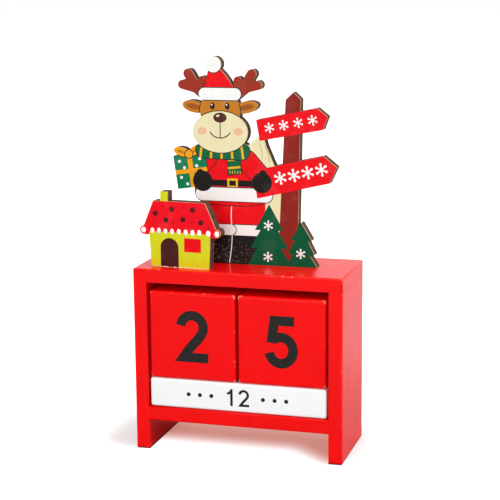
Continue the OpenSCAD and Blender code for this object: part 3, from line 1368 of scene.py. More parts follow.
@dataclass(frozen=True)
class DropRow:
    """A row of raised drops on a cut-out.

    Attributes:
        GROUP: Name of the node group that makes a row.
        SEGMENTS: Segments round a drop.
        RINGS: Rings up a drop.
        UNIT_RADIUS: Radius of a drop before it gets its size.
        name: The piece's name.
        start: Place of the first drop, across and up.
        end: Place of the last drop.
        count: How many drops.
        size: Width, thickness and height of the largest drop.
        depth: How far behind the printed face their middles are.
        jitter: How far a drop may lie off its place in the row, on each axis.
        shrink: How much smaller than the largest a drop may be, as a share.
        seed: Seed of the jitter and the sizes.
    """

    GROUP: ClassVar[str] = "drop_row"
    SEGMENTS: ClassVar[int] = 20
    RINGS: ClassVar[int] = 10
    UNIT_RADIUS: ClassVar[float] = 0.5

    name: str
    start: Pair
    end: Pair
    count: int
    size: Triple
    depth: float = 0.0
    jitter: Triple = (0.0, 0.0, 0.0)
    shrink: float = 0.0
    seed: int = 1

    @classmethod
    def tree(cls) -> bpy.types.NodeTree:
        """Makes the Geometry Nodes tree of a row, once.

        Returns:
            The tree.
        """
        made = bpy.data.node_groups.get(cls.GROUP)
        if made:
            return made
        made = bpy.data.node_groups.new(cls.GROUP, "GeometryNodeTree")
        sockets = {
            "Start": "NodeSocketVector",
            "End": "NodeSocketVector",
            "Count": "NodeSocketInt",
            "Drop Size": "NodeSocketVector",
            "Drop Turn": "NodeSocketVector",
            "Jitter": "NodeSocketVector",
            "Shrink": "NodeSocketFloat",
            "Seed": "NodeSocketInt",
            "Paint": "NodeSocketMaterial",
        }
        for name, kind in sockets.items():
            made.interface.new_socket(name, in_out="INPUT", socket_type=kind)
        made.interface.new_socket("Drops", in_out="OUTPUT", socket_type="NodeSocketGeometry")
        graph = Graph(made)
        source = graph.node("NodeGroupInput")
        given = {name: source.sibling(name) for name in sockets}
        row = graph.node(
            "GeometryNodeMeshLine",
            {"mode": "END_POINTS"},
            {"Count": given["Count"], "Start Location": given["Start"], "Offset": given["End"]},
        )
        scaling = {"operation": "SCALE"}
        back = graph.node("ShaderNodeVectorMath", scaling, {0: given["Jitter"], "Scale": -1.0})
        stray = graph.node(
            "FunctionNodeRandomValue",
            {"data_type": "FLOAT_VECTOR"},
            {0: back, 1: given["Jitter"], "Seed": given["Seed"]},
        )
        strewn = graph.node("GeometryNodeSetPosition", values={"Geometry": row, "Offset": stray})
        share = graph.node(
            "FunctionNodeRandomValue",
            {"data_type": "FLOAT"},
            {2: 1.0 - given["Shrink"], 3: 1.0, "Seed": given["Seed"]},
            output=1,
        )
        size = graph.node("ShaderNodeVectorMath", scaling, {0: given["Drop Size"], "Scale": share})
        ball = {"Segments": cls.SEGMENTS, "Rings": cls.RINGS, "Radius": cls.UNIT_RADIUS}
        drop = graph.node("GeometryNodeMeshUVSphere", values=ball)
        smooth = graph.node("GeometryNodeSetShadeSmooth", values={"Geometry": drop})
        turn = graph.node("FunctionNodeEulerToRotation", values={"Euler": given["Drop Turn"]})
        placed = graph.node(
            "GeometryNodeInstanceOnPoints",
            values={"Points": strewn, "Instance": smooth, "Rotation": turn, "Scale": size},
        )
        real = graph.node("GeometryNodeRealizeInstances", values={"Geometry": placed})
        coated = {"Geometry": real, "Material": given["Paint"]}
        coat = graph.node("GeometryNodeSetMaterial", values=coated)
        graph.node("NodeGroupOutput", values={"Drops": coat})
        return made

    def build(self, seat: Seat, paint: bpy.types.Material, body: str) -> None:
        """Makes the row on a cut-out.

        Args:
            seat: Where the cut-out stands.
            paint: The drops' paint.
            body: The body that they ride on.
        """
        tree = self.tree()
        inputs = {
            "Start": seat.point(*self.start, self.depth),
            "End": seat.point(*self.end, self.depth),
            "Count": self.count,
            "Drop Size": MM * Vector(self.size),
            "Drop Turn": Vector((0.0, 0.0, math.radians(seat.turn))),
            "Jitter": MM * Vector(self.jitter),
            "Shrink": self.shrink,
            "Seed": self.seed,
            "Paint": paint,
        }
        names = {item.name: item.identifier for item in tree.interface.items_tree if item.in_out == "INPUT"}
        carrier = bpy.data.objects.new("carrier", bpy.data.meshes.new("carrier"))
        bpy.context.scene.collection.objects.link(carrier)
        maker = carrier.modifiers.new("drops", "NODES")
        maker.node_group = tree
        for name, value in inputs.items():
            maker[names[name]] = value
        mesh = evaluated(carrier)
        bpy.data.objects.remove(carrier)
        add_piece(self.name, mesh, [paint], body, "plywood")


@dataclass
class CutOut:
    """An upright plywood cut-out with a print on its front.

    Attributes:
        node: The node that it stands for.
        seat: Where it stands.
        thickness: Its thickness.
        body: The body that it rides on.
        edge: The finish of its cut edges.
        back: The finish of its back.
        sheet: The print.
    """

    node: str
    seat: Seat
    thickness: float = 6.0
    body: str = "frame"
    edge: ScorchedEdge = ScorchedEdge(srgb(204, 166, 130), srgb(108, 76, 58), srgb(60, 42, 34))
    back: BarePly = BarePly(srgb(214, 178, 132), srgb(190, 148, 102), srgb(128, 88, 54))
    sheet: Sheet = field(default_factory=Sheet)

    def build(self, ink: bpy.types.Material) -> None:
        """Draws the print and makes the plate.

        Args:
            ink: The printing ink.
        """
        self.draw()
        mesh = self.sheet.solid(self.node, self.seat.point, 0.0, self.thickness)
        edge = self.edge.material(f"{self.node}_edge", self.seat)
        back = self.back.material(f"{self.node}_back")
        add_piece(f"{self.node}_printed", mesh, [ink, edge, back], self.body, "plywood", (self.node,))

    def draw(self) -> None:
        """Lays the regions of the print."""
        raise NotImplementedError


@dataclass
class Figure(CutOut):
    """The tall cut-out: a reindeer with a gift beside a signpost and two fir trees.

    Attributes:
        line: Width of the dark lines round the regions.
        head_x: Middle of the head.
        brim_h: Height of the hat's brim.
        legs_x: Middle of the legs.
        crotch_h: Height at which the legs come out from under the coat.
        cuff_h: Height of the cuffs.
        cuff_r: Half their height.
        belt_h: Height of the belt.
        star_r: From the middle of a tree's snow star to its tips.
        speck_seed: Seed of the specks in the boots.
    """

    line: float = 0.45
    head_x: float = -14.0
    brim_h: float = 86.0
    legs_x: float = -8.5
    crotch_h: float = 34.0
    cuff_h: float = 17.5
    cuff_r: float = 2.7
    belt_h: float = 41.3
    star_r: float = 2.1
    speck_seed: int = 5

    def draw(self) -> None:
        """Lays the regions from the back of the picture to its front."""
        self._antlers_and_hat()
        self._sack_and_post()
        self._legs()
        self._boot_specks()
        self._coat()
        self._gift()
        self._signs()
        self._mittens()
        self._scarf()
        self._face()
        self._trees()

    def _antlers_and_hat(self) -> None:
        """Antlers, ears, head and hat."""
        head = (self.head_x, 0)
        tines = (
            ((5, 83), (12, 88.5), 2.6),
            ((12, 88.5), (16.5, 96), 2.4),
            ((12, 88.5), (19.5, 90.5), 2.3),
            ((9, 86.2), (9.3, 92.8), 2),
        )
        for start, end, radius in tines:
            for half in both(capsule(start, end, radius), head):
                self.sheet.paint(half, Ink.ANTLER)
        for ear in both(ellipse((13.5, 79.5), (6.2, 3), 12), head):
            self.sheet.paint(ear, Ink.TAN, self.line)
        for hollow in both(ellipse((13.9, 79.6), (3.7, 1.4), 12), head):
            self.sheet.mark(hollow, Ink.EAR)
        self.sheet.paint(ellipse((self.head_x, 77.5), (10.5, 10)), Ink.TAN, self.line)
        brim, tip = 8, (-3.2, 100.6)
        foot = [(-brim, self.brim_h), (brim, self.brim_h)]
        hat = [*foot, (5.6, 91.5), (1.5, 97), tip, (-5.8, 98), (-7, 92.5)]
        self.sheet.paint(moved(loop(hat), head), Ink.RED, self.line)
        ends = [(self.head_x + side * brim, self.brim_h) for side in (-1, 1)]
        self.sheet.paint(capsule(*ends, 3), Ink.WHITE, self.line)
        self.sheet.paint(disc((self.head_x + tip[0], tip[1]), 4, 48), Ink.WHITE, self.line)

    def _sack_and_post(self) -> None:
        """The sack on the back and the signpost behind it."""
        sack = [
            (-4, 54), (1, 61), (7.5, 65.5), (10, 60), (13, 53), (16.5, 45), (18.5, 34), (18.5, 18),
            (15, 5), (2, 4), (-3, 22),
        ]  # fmt: skip
        self.sheet.paint(loop(sack), Ink.CREAM)
        for crease in (((6, 62.5), (7.5, 58), (7.8, 54)), ((9.2, 61), (11, 56), (11.5, 52.5))):
            self.sheet.mark(ribbon(path(crease), 0.5), Ink.FOLD)
        post = [(15.5, 0), (25.6, 0), (27.5, 84), (23.8, 87.4), (19.9, 83.7)]
        self.sheet.paint(polygon(post), Ink.POST)

    def _legs(self) -> None:
        """Trousers, boots and their white cuffs, which run on over the foot of the sack."""
        at = (self.legs_x, 0)
        hip, hem, shaft = self.crotch_h, 17, 16
        trousers = [(-13.5, hip), (13.5, hip), (12.5, hem), (-12.5, hem)]
        boot = [(0, 0), (14, 0), (13.8, 5), (12, 9), (11.5, shaft), (0, shaft)]
        over_sack = capsule((0, self.cuff_h), (8, self.cuff_h), self.cuff_r)
        self.sheet.mark(polygon([(0, hip), (9.4, hip), (8.8, hem), (0, hem)]), Ink.RED)
        self.sheet.mark(polygon([(0, 0), (9.4, 0), (8.6, shaft), (0, shaft)]), Ink.BLACK)
        self.sheet.mark(grown(over_sack, self.line), Ink.LINE)
        self.sheet.paint(moved(polygon(trousers), at), Ink.RED)
        for half in both(polygon(boot), at):
            self.sheet.paint(half, Ink.BLACK)
        for cuff in both(capsule((0.5, self.cuff_h), (11, self.cuff_h), self.cuff_r), at):
            self.sheet.paint(cuff, Ink.WHITE, self.line)
        self.sheet.mark(over_sack, Ink.WHITE)
        parting = [(0.1, 30.5), (-0.2, 24), (0.2, 15), (-0.4, 7), (-1.4, 0.4)]
        self.sheet.mark(moved(ribbon(path(parting), 0.45), at), Ink.WHITE)

    def _boot_specks(self) -> None:
        """Fine bare specks in the black of the boots, most of them near the sole."""
        draw = random.Random(self.speck_seed)
        for count, reach in ((110, (-12, -1)), (40, (0, 9))):
            for _ in range(count):
                spot = (self.legs_x + draw.uniform(*reach), 1 + 12 * draw.random() ** 1.4)
                self.sheet.mark(disc(spot, draw.uniform(0.06, 0.17), 8), Ink.SPECK)

    def _coat(self) -> None:
        """Coat with its belt, hem and sleeves."""
        coat = [
            (-21, 59), (-27, 51), (-28, 41), (-25.5, 32), (-8.5, 30), (9, 32), (10, 42), (5, 53),
            (-4, 59),
        ]  # fmt: skip
        self.sheet.paint(loop(coat), Ink.RED, self.line)
        self.sheet.mark(strip((-27.2, self.belt_h), (9.6, self.belt_h), 3.2), Ink.BLACK)
        buckle = rectangle((-10.6, 38.9), (-5, 43.7))
        self.sheet.mark(buckle, Ink.YELLOW)
        self.sheet.mark(grown(buckle, -1.1), Ink.BLACK)
        self.sheet.paint(capsule((-24, 35.5), (9.5, 35.5), 3.4), Ink.WHITE, self.line)
        for start, end in (((-21, 54), (-29, 46)), ((0, 53), (7, 45))):
            self.sheet.paint(capsule(start, end, 5), Ink.RED, self.line)

    def _gift(self) -> None:
        """Parcel with its ribbon and bow."""
        mid, width, tilt = (-29.5, 47), 17, 8
        half = width / 2
        spots = (
            (-5.6, 5.4), (-3.4, 1.9), (5.3, 5.6), (3.2, 2.2),
            (-5.8, -2.8), (-3, -6.4), (3.4, -3), (5.9, -6),
        )  # fmt: skip

        def laid(outline: Outline) -> Outline:
            """An outline drawn about the parcel's middle, put in its place."""
            return moved(outline, mid, tilt)

        self.sheet.paint(laid(rectangle((-half, -half), (half, half))), Ink.GIFT, self.line)
        for spot in spots:
            self.sheet.mark(laid(disc(spot, 0.8, 20)), Ink.WHITE)
        self.sheet.mark(laid(strip((0, -half), (0, half), 2.6)), Ink.RIBBON)
        self.sheet.mark(laid(strip((-half, 0), (half, 0), 2.2)), Ink.RIBBON)
        for bow in both(ellipse((3.7, 1.6), (4.2, 2.2), 24), (0, half)):
            self.sheet.paint(laid(bow), Ink.RIBBON, self.line)
        for fold in both(ellipse((4.1, 1.8), (2.1, 0.7), 24), (0, half)):
            self.sheet.mark(laid(fold), Ink.TAN)
        self.sheet.paint(laid(disc((0, half), 2, 36)), Ink.RIBBON, self.line)

    def _signs(self) -> None:
        """The two boards on the post, each with a row of snow stars."""
        boards = (
            ((4.7, 73.4), (6.5, 63), (38.7, 69.2), (41.1, 75.6), (35.9, 79.8)),
            ((3, 48.1), (5, 34), (42.2, 42.8), (45.9, 50.8), (39.1, 56.2)),
        )
        for board in boards:
            self.sheet.paint(polygon(board), Ink.RED)
        rows = (((11.5, 69.7), (33.5, 73.9), 2.1), ((17, 44.7), (38, 49.5), 2.7))
        stars, tilt = 4, 11
        for start, end, radius in rows:
            for star in range(stars):
                mid = Vector(start).lerp(Vector(end), star / (stars - 1))
                for part in snowflake(tuple(mid), radius, tilt):
                    self.sheet.mark(part, Ink.WHITE)

    def _mittens(self) -> None:
        """Mittens on the parcel and on the lower board."""
        for mid in ((-23.5, 42), (7.5, 42)):
            self.sheet.paint(disc(mid, 4.8, 48), Ink.BLACK, self.line)
        for thumb in (((-26.4, 44.4), (-24.8, 46.4)), ((9.6, 44.6), (8.2, 46.8))):
            self.sheet.mark(capsule(*thumb, 1.7), Ink.BLACK)

    def _scarf(self) -> None:
        """Striped scarf with one hanging end."""
        tail = polygon([(-10.5, 57), (-4.2, 57), (-3.2, 46.4), (-9.8, 45.6)])
        self.sheet.paint(tail, Ink.SCARF, self.line)
        for level in (53.2, 49.2):
            self.sheet.mark(strip((-10.2, level - 0.3), (-3.6, level + 0.4), 1.1), Ink.YELLOW)
        for tassel in range(5):
            foot = -9.1 + 1.35 * tassel
            self.sheet.mark(strip((foot, 46.1), (foot - 0.1, 47.7), 0.35), Ink.YELLOW)
        self.sheet.paint(capsule((-22.5, 58), (-3, 57.5), 4.3), Ink.SCARF, self.line)
        for stripe in range(5):
            foot = -23.6 + 5.1 * stripe
            lean = 0.9 * (stripe - 2)
            self.sheet.mark(strip((foot, 62), (foot + lean * 0.6, 53.6), 1.2), Ink.YELLOW)

    def _face(self) -> None:
        """Muzzle, nose, eyes, cheeks and mouth."""
        x = self.head_x
        self.sheet.paint(ellipse((x, 67), (14.4, 10.4)), Ink.CREAM, self.line)
        self.sheet.mark(ellipse((x, 74.2), (3.5, 2.5)), Ink.NOSE)
        self.sheet.mark(ellipse((x - 1.1, 75.1), (0.9, 0.55), 15, 24), Ink.CREAM)
        for side in (-1, 1):
            self.sheet.mark(ellipse((x + side * 3.9, 80), (1.25, 1.75), 0, 36), Ink.LINE)
            self.sheet.mark(disc((x + side * 3.9 - 0.35, 80.6), 0.42, 16), Ink.WHITE)
            self.sheet.mark(ellipse((x + side * 9.4, 67.4), (2.4, 1.9), 0, 40), Ink.CHEEK)
        mouth = arc((x, 68.6), (5.6, 4.6), 200, 340)
        self.sheet.mark(ribbon(polygon(mouth), 0.55), Ink.LINE)
        self.sheet.mark(strip((x, 71.8), (x, 64), 0.5), Ink.LINE)

    def _trees(self) -> None:
        """The two fir trees with their snow stars."""
        trees = (
            fir(11.2, 31.3, levels=(18, 8.9, 0), reach=(7.5, 9.8, 11.3), notch=(4.6, 6.2)),
            fir(27.7, 22.6, levels=(13.6, 6.4, 0), reach=(5.4, 6.9, 8.1), notch=(3.2, 4.2)),
        )
        for tree in trees:
            self.sheet.paint(tree, Ink.FIR)
        for mid in ((10.7, 20.5), (10.4, 4.4), (27.4, 6.7)):
            for part in snowflake(mid, self.star_r):
                self.sheet.mark(part, Ink.WHITE)


@dataclass
class House(CutOut):
    """The small house that stands in front of the figure.

    Attributes:
        roof_foot: Height of the roof's straight foot.
        roof_top: Height of the ridge.
        eave_h: Height of the round eave.
        eave_r: Half its height.
        spot_r: Radius of the large spots on the roof.
        fleck_r: Radius of the small ones.
    """

    roof_foot: float = 19.5
    roof_top: float = 33.4
    eave_h: float = 18.3
    eave_r: float = 2.25
    spot_r: float = 1.4
    fleck_r: float = 0.45

    def draw(self) -> None:
        """Lays wall, chimney, roof, door and window."""
        self.sheet.paint(polygon([(-15.7, 0), (15.7, 0), (16.65, 17.3), (-16.65, 17.3)]), Ink.LIME)
        self.sheet.paint(rectangle((-10.15, 33), (-6.25, 38.3)), Ink.LIME)
        foot, top = self.roof_foot, self.roof_top
        self.sheet.paint(polygon([(-20, foot), (20, foot), (13.9, top), (-14.2, top)]), Ink.ROOF)
        self.sheet.paint(capsule((-19.5, self.eave_h), (19.8, self.eave_h), self.eave_r), Ink.ROOF)
        self.sheet.mark(polygon([(-16.5, 15.5), (16.5, 15.5), (16.6, 17.7), (-16.6, 17.7)]), Ink.LIME)
        arch = arc((-5.575, 9.9), (4.925, 4.9), 0, 180)
        self.sheet.mark(polygon([(-10.5, 0), (-0.65, 0), *arch]), Ink.DOOR)
        self.sheet.mark(rectangle((2.45, 8.2), (11.6, 15.2)), Ink.RED)
        self._spots()

    def _spots(self) -> None:
        """Dark spots on the roof, large and small."""
        large = ((-13.1, 27), (-4.1, 29.5), (7.3, 29.7), (-7.3, 23.9), (2, 24.6), (11.7, 23.5))
        small = ((-8.6, 30.7), (2.4, 30.5), (13, 30), (-13.7, 22.6), (-3.3, 22.3), (7, 23.6), (15.8, 21.3))
        for spots, radius in ((large, self.spot_r), (small, self.fleck_r)):
            for spot in spots:
                self.sheet.mark(disc(spot, radius), Ink.SPOT)


class Face(Enum):
    """A face of a block that holds a number: its outward direction and the number's right."""

    FRONT = ((0, -1, 0), (1, 0, 0))
    BACK = ((0, 1, 0), (-1, 0, 0))
    LEFT = ((-1, 0, 0), (0, -1, 0))
    RIGHT = ((1, 0, 0), (0, 1, 0))
    TOP = ((0, 0, 1), (1, 0, 0))
    UNDER = ((0, 0, -1), (1, 0, 0))
    BACK_ROLLED = ((0, 1, 0), (1, 0, 0))
    TOP_SIDEWAYS = ((0, 0, 1), (0, 1, 0))

    def placer(self, low: Vector, high: Vector) -> Placer:
        """Places on this face of a box.

        Args:
            low: The box's lowest corner, in metres.
            high: The box's highest corner, in metres.

        Returns:
            A function from a place right of and above the face's middle, and a depth, to a point.
        """
        out, right = (Vector(way) for way in self.value)
        up = out.cross(right)
        half = (high - low) / 2
        middle = (low + high) / 2 + Vector(out[axis] * half[axis] for axis in range(3))
        return lambda across, above, depth: middle + MM * (across * right + above * up - depth * out)


@dataclass(frozen=True)
class Stroke:
    """A stroke of a number in a square of side 1, either curved or in straight runs.

    Attributes:
        points: What it passes through.
        curved: Whether it runs smoothly from one point to the next.
        caps: Whether its start and its end run on by half its width.
    """

    points: tuple[Pair, ...]
    curved: bool = False
    caps: tuple[bool, bool] = (False, False)


@dataclass(frozen=True)
class Ring:
    """A closed round stroke of a number in a square of side 1.

    Attributes:
        mid: Its middle.
        radii: Its half width and half height.
    """

    mid: Pair
    radii: Pair


SIX = (
    Ring((0.5, 0.3), (0.5, 0.3)),
    Stroke(((0, 0.3), (0, 0.5), *arc((0.5, 0.7), (0.5, 0.3), 180, 24))),
)
DIGITS: dict[int, tuple[Union[Stroke, Ring], ...]] = {
    0: (Ring((0.5, 0.5), (0.5, 0.5)),),
    1: (
        Stroke(((0.64, 0), (0.64, 1)), caps=(True, True)),
        Stroke(((0.66, 1), (0.42, 0.83), (0.12, 0.74)), True),
    ),
    2: (
        Stroke(
            (
                *arc((0.5, 0.715), (0.5, 0.285), 172, -12),
                *((0.94, 0.59), (0.86, 0.515), (0.72, 0.42), (0.52, 0.297), (0.34, 0.182)),
                *((0.11, 0), (1, 0)),
            ),
            caps=(False, True),
        ),
    ),
    3: (
        Stroke(tuple(arc((0.48, 0.76), (0.44, 0.24), 168, -62))),
        Stroke(((0.32, 0.535), (0.62, 0.535))),
        Stroke(tuple(arc((0.5, 0.27), (0.5, 0.27), 78, -166))),
    ),
    4: (
        Stroke(((0.76, 0), (0.76, 1)), caps=(True, True)),
        Stroke(((0.74, 1), (0.02, 0.27), (1, 0.27)), caps=(False, True)),
    ),
    5: (
        Stroke(((0.84, 1), (0.2, 1), (0.075, 0.475)), caps=(True, False)),
        Stroke(tuple(arc((0.48, 0.31), (0.52, 0.31), 122, -168))),
    ),
    6: SIX,
    7: (
        Stroke(((0, 1), (1, 1)), caps=(True, True)),
        Stroke(((0.98, 0.98), (0.62, 0.6), (0.42, 0.25), (0.36, 0)), True, (False, True)),
    ),
    8: (Ring((0.5, 0.76), (0.42, 0.24)), Ring((0.5, 0.27), (0.5, 0.27))),
}


@dataclass(frozen=True)
class Numerals:
    """Plain upright numerals drawn by strokes of one width.

    Attributes:
        height: Height of a numeral.
        width: Its width.
        stroke: Width of its strokes.
        pitch: From one numeral of a number to the next.
    """

    height: float
    width: float
    stroke: float
    pitch: float

    @property
    def _span(self) -> Pair:
        """Width and height between the middles of the outermost strokes."""
        return self.width - self.stroke, self.height - self.stroke

    def _spot(self, point: Pair, mid: float, upturned: bool) -> Vector:
        """Places a point of the unit square in a numeral.

        Args:
            point: The point.
            mid: Middle of the numeral.
            upturned: Whether the numeral stands on its head.

        Returns:
            Its place.
        """
        x, y = (1 - point[0], 1 - point[1]) if upturned else point
        wide, high = self._span
        return Vector((mid + (x - 0.5) * wide, (y - 0.5) * high))

    def _ring(self, ring: Ring, mid: float, upturned: bool) -> tuple[Outline, Outline]:
        """Draws a ring of a numeral.

        Args:
            ring: The ring.
            mid: Middle of the numeral.
            upturned: Whether the numeral stands on its head.

        Returns:
            Its outer and its inner outline.
        """
        centre = tuple(self._spot(ring.mid, mid, upturned))
        wide, high = self._span
        share = Vector(ring.radii)
        radii = Vector((share.x * wide, share.y * high))
        grow = Vector((self.stroke, self.stroke)) / 2
        return ellipse(centre, tuple(radii + grow)), ellipse(centre, tuple(radii - grow))

    def _run(self, part: Stroke, mid: float, upturned: bool) -> Outline:
        """Outline of an open stroke, in a numeral about mid."""
        line = [self._spot(point, mid, upturned) for point in part.points]
        return ribbon(path(line) if part.curved else line, self.stroke, part.caps)

    def draw(self, number: int, sheet: Sheet, ink: Ink) -> None:
        """Lays a number about the middle of a sheet.

        Args:
            number: The number.
            sheet: Where it is laid.
            ink: Its ink.
        """
        digits = str(number)
        holes = []
        for index, digit in enumerate(digits):
            mid = (index - (len(digits) - 1) / 2) * self.pitch
            upturned = digit == "9"
            for part in SIX if upturned else DIGITS[int(digit)]:
                if isinstance(part, Ring):
                    outer, inner = self._ring(part, mid, upturned)
                    holes.append(inner)
                else:
                    outer = self._run(part, mid, upturned)
                sheet.paint(outer, ink)
        for hole in holes:
            sheet.cut(hole)


@dataclass
class Block:
    """A loose painted block with numbers printed on its faces.

    Attributes:
        node: The node that it stands for.
        body: The body that it rides on.
        slot: Name of its material slot.
        ease: Radius of its arrises.
        paint: Its paint.
        numerals: Its numerals.
        numbers: The number on each printed face.
        beads: Distances from a number's middle at which two dots flank it.
        bead_r: Radius of the dots.
        ink_t: Thickness of the ink.
        ink_sink: How far the ink goes into the paint.
        ease_steps: Steps round an arris.
    """

    node: str
    body: str
    slot: str
    ease: float
    paint: BrushedPaint
    numerals: Numerals
    numbers: dict[Face, int]
    beads: tuple[float, ...] = ()
    bead_r: float = 0.0
    ink_t: float = 0.05
    ink_sink: float = 0.05
    ease_steps: int = 6

    def build(self, ink: bpy.types.Material) -> None:
        """Makes the block and its numbers.

        Args:
            ink: The ink of the numbers.
        """
        low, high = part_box(self.node)
        paint = self.paint.material(f"{self.node}_paint", Grain.ALONG_X, low, high)
        block = to_mesh(eased_box(low, high, self.ease, steps=self.ease_steps), self.node)
        add_piece(f"{self.node}_painted", block, [paint], self.body, self.slot, (self.node,))
        joined = bmesh.new()
        for face, number in self.numbers.items():
            mesh = self._drawn(number).solid("number", face.placer(low, high), -self.ink_t, self.ink_sink)
            joined.from_mesh(mesh)
            bpy.data.meshes.remove(mesh)
        numbers = to_mesh(joined, f"{self.node}_numbers")
        numbers.polygons.foreach_set("material_index", [0] * len(numbers.polygons))
        add_piece(f"{self.node}_numbers", numbers, [ink], self.body, self.slot)

    def _drawn(self, number: int) -> Sheet:
        """Draws a number with its dots.

        Args:
            number: The number.

        Returns:
            The sheet that they are in.
        """
        sheet = Sheet()
        self.numerals.draw(number, sheet, Ink.BLACK)
        for reach in self.beads:
            for side in (-1, 1):
                sheet.paint(disc((side * reach, 0.0), self.bead_r), Ink.BLACK)
        return sheet


@dataclass
class Calendar:
    """The whole object: carcass, cut-outs, blocks and nails.

    Attributes:
        nodes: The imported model's nodes.
        house_offset: How far left of the middle the house stands.
        house_setback: How far behind the top board's front the house stands.
        house_turn: The house's turn about the upright, in degrees.
        day_numerals: Numerals of the cubes.
        month_numerals: Numerals of the bars.
        cube_ease: Radius of the cubes' arrises.
        bar_ease: Radius of the bars' arrises.
        beads: Distances of the dots on a bar from its middle.
        bead_r: Radius of the dots.
        cube_paint: Paint of the cubes.
        bar_paint: Paint of the bars.
        number_ink: Ink of the numbers.
        steel: Steel of the nails.
        drop_paint: Paint of the eave's drops.
        glue: Dried glue at the foot of the house.
    """

    nodes: Nodes
    house_offset: float = 31.1
    house_setback: float = 6.7
    house_turn: float = -5.0
    day_numerals: Numerals = Numerals(height=26.6, width=16.8, stroke=4.9, pitch=20.0)
    month_numerals: Numerals = Numerals(height=8.8, width=5.6, stroke=1.25, pitch=7.0)
    cube_ease: float = 1.5
    bar_ease: float = 1.3
    beads: tuple[float, ...] = (13.5, 19.5, 25.5)
    bead_r: float = 1.05
    cube_paint: BrushedPaint = BrushedPaint(
        srgb(248, 8, 11),
        srgb(240, 5, 8),
        srgb(255, 176, 140),
        gloss=0.12,
        streak_depth=0.01,
        pit_share=0.15,
        wear_from=1.1,
        wear_full=0.3,
        wear_share=0.58,
        corner_wear=0.18,
    )
    bar_paint: BrushedPaint = BrushedPaint(
        srgb(247, 249, 249),
        srgb(244, 246, 247),
        srgb(214, 205, 190),
        streak_depth=0.008,
        wear_from=0.8,
        wear_full=0.2,
        wear_share=0.62,
    )
    number_ink: MottledCoat = MottledCoat(
        srgb(30, 28, 27),
        shaded(srgb(30, 28, 27), 1.7),
        Noise(420.0, 4.0, 0.65),
        step=(0.35, 0.8),
        roughness=0.32,
        swing=0.2,
        depth=0.02,
        gloss=0.12,
    )
    steel: MottledCoat = MottledCoat(
        srgb(190, 190, 194),
        srgb(128, 126, 124),
        Noise(1800.0),
        step=(0.4, 0.7),
        roughness=0.32,
        swing=0.3,
        depth=0.02,
        metallic=1.0,
    )
    drop_paint: MottledCoat = MottledCoat(srgb(250, 250, 247), srgb(236, 236, 232))
    glue: MottledCoat = MottledCoat(srgb(246, 226, 214), srgb(240, 176, 160))

    def build(self) -> None:
        """Builds the pieces in order."""
        Carcass().build(self.nodes)
        self._cut_outs()
        self._blocks()
        self._nails()

    def _cut_outs(self) -> None:
        """The figure, and the house with its eave drops and glue."""
        ink = PrintInk().material("cut_out_print")
        drops = self.drop_paint.material("drop_paint")
        board_low, board_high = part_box("top_board")
        top = board_high.z
        Figure("figure_plate", Seat(Vector((0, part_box("figure_plate")[0].y, top)))).build(ink)
        foot = Vector((-self.house_offset * MM, board_low.y + self.house_setback * MM, top))
        house = House("house_plate", Seat(foot, self.house_turn))
        house.build(ink)
        for row in self._eave_drops():
            row.build(house.seat, drops, house.body)
        self._foot_glue().build(house.seat, self.glue.material("dried_glue"), house.body)

    @staticmethod
    def _eave_drops() -> list[DropRow]:
        """Sets out the paint drops along the eave of the house.

        Returns:
            Three runs of drops.
        """
        return [
            DropRow(
                "eave_drops",
                start=(-15.0, 18.2),
                end=(10.8, 18.2),
                count=8,
                size=(2.3, 0.5, 3.1),
                jitter=(0.15, 0.0, 0.12),
                shrink=0.1,
            ),
            DropRow("eave_drops_right", (15.6, 18.2), (20.2, 18.2), 2, (2.5, 0.5, 3.1)),
            DropRow("eave_drop_left", (-19.8, 18.3), (-19.7, 18.3), 1, (2.8, 0.5, 3.0)),
        ]

    @staticmethod
    def _foot_glue() -> DropRow:
        """Sets out the crumbs of dried glue along the foot of the house.

        Returns:
            The crumbs, as a row of drops.
        """
        return DropRow(
            "house_glue",
            start=(-14.5, 0.1),
            end=(14.5, 0.1),
            count=90,
            size=(1.3, 0.5, 0.4),
            depth=-0.2,
            jitter=(0.7, 0.25, 0.05),
            shrink=0.85,
            seed=3,
        )

    def _blocks(self) -> None:
        """The two cubes and the three month bars."""
        ink = self.number_ink.material("number_ink")
        cubes = (
            ("day_cube_left", "tens_cube", (2, 1, 0, 6, 7, 8)),
            ("day_cube_right", "units_cube", (5, 3, 0, 4, 1, 2)),
        )
        around = (Face.FRONT, Face.LEFT, Face.BACK, Face.RIGHT, Face.TOP_SIDEWAYS, Face.UNDER)
        for node, body, numbers in cubes:
            cube = Block(
                node,
                body,
                slot="cube_paint",
                ease=self.cube_ease,
                paint=self.cube_paint,
                numerals=self.day_numerals,
                numbers=dict(zip(around, numbers)),
            )
            cube.build(ink)
        rolls = (Face.FRONT, Face.UNDER, Face.BACK_ROLLED, Face.TOP)
        for row, last in (("front", 12), ("middle", 8), ("rear", 4)):
            bar = Block(
                f"month_bar_{row}",
                f"{row}_bar",
                slot="bar_paint",
                ease=self.bar_ease,
                paint=self.bar_paint,
                numerals=self.month_numerals,
                numbers={face: last - step for step, face in enumerate(rolls)},
                beads=self.beads,
                bead_r=self.bead_r,
            )
            bar.build(ink)

    def _nails(self) -> None:
        """Gives the nails their steel."""
        steel = self.steel.material("nail_steel")
        for name, node in self.nodes.items():
            if name.endswith("_nails"):
                repaint(node, steel)


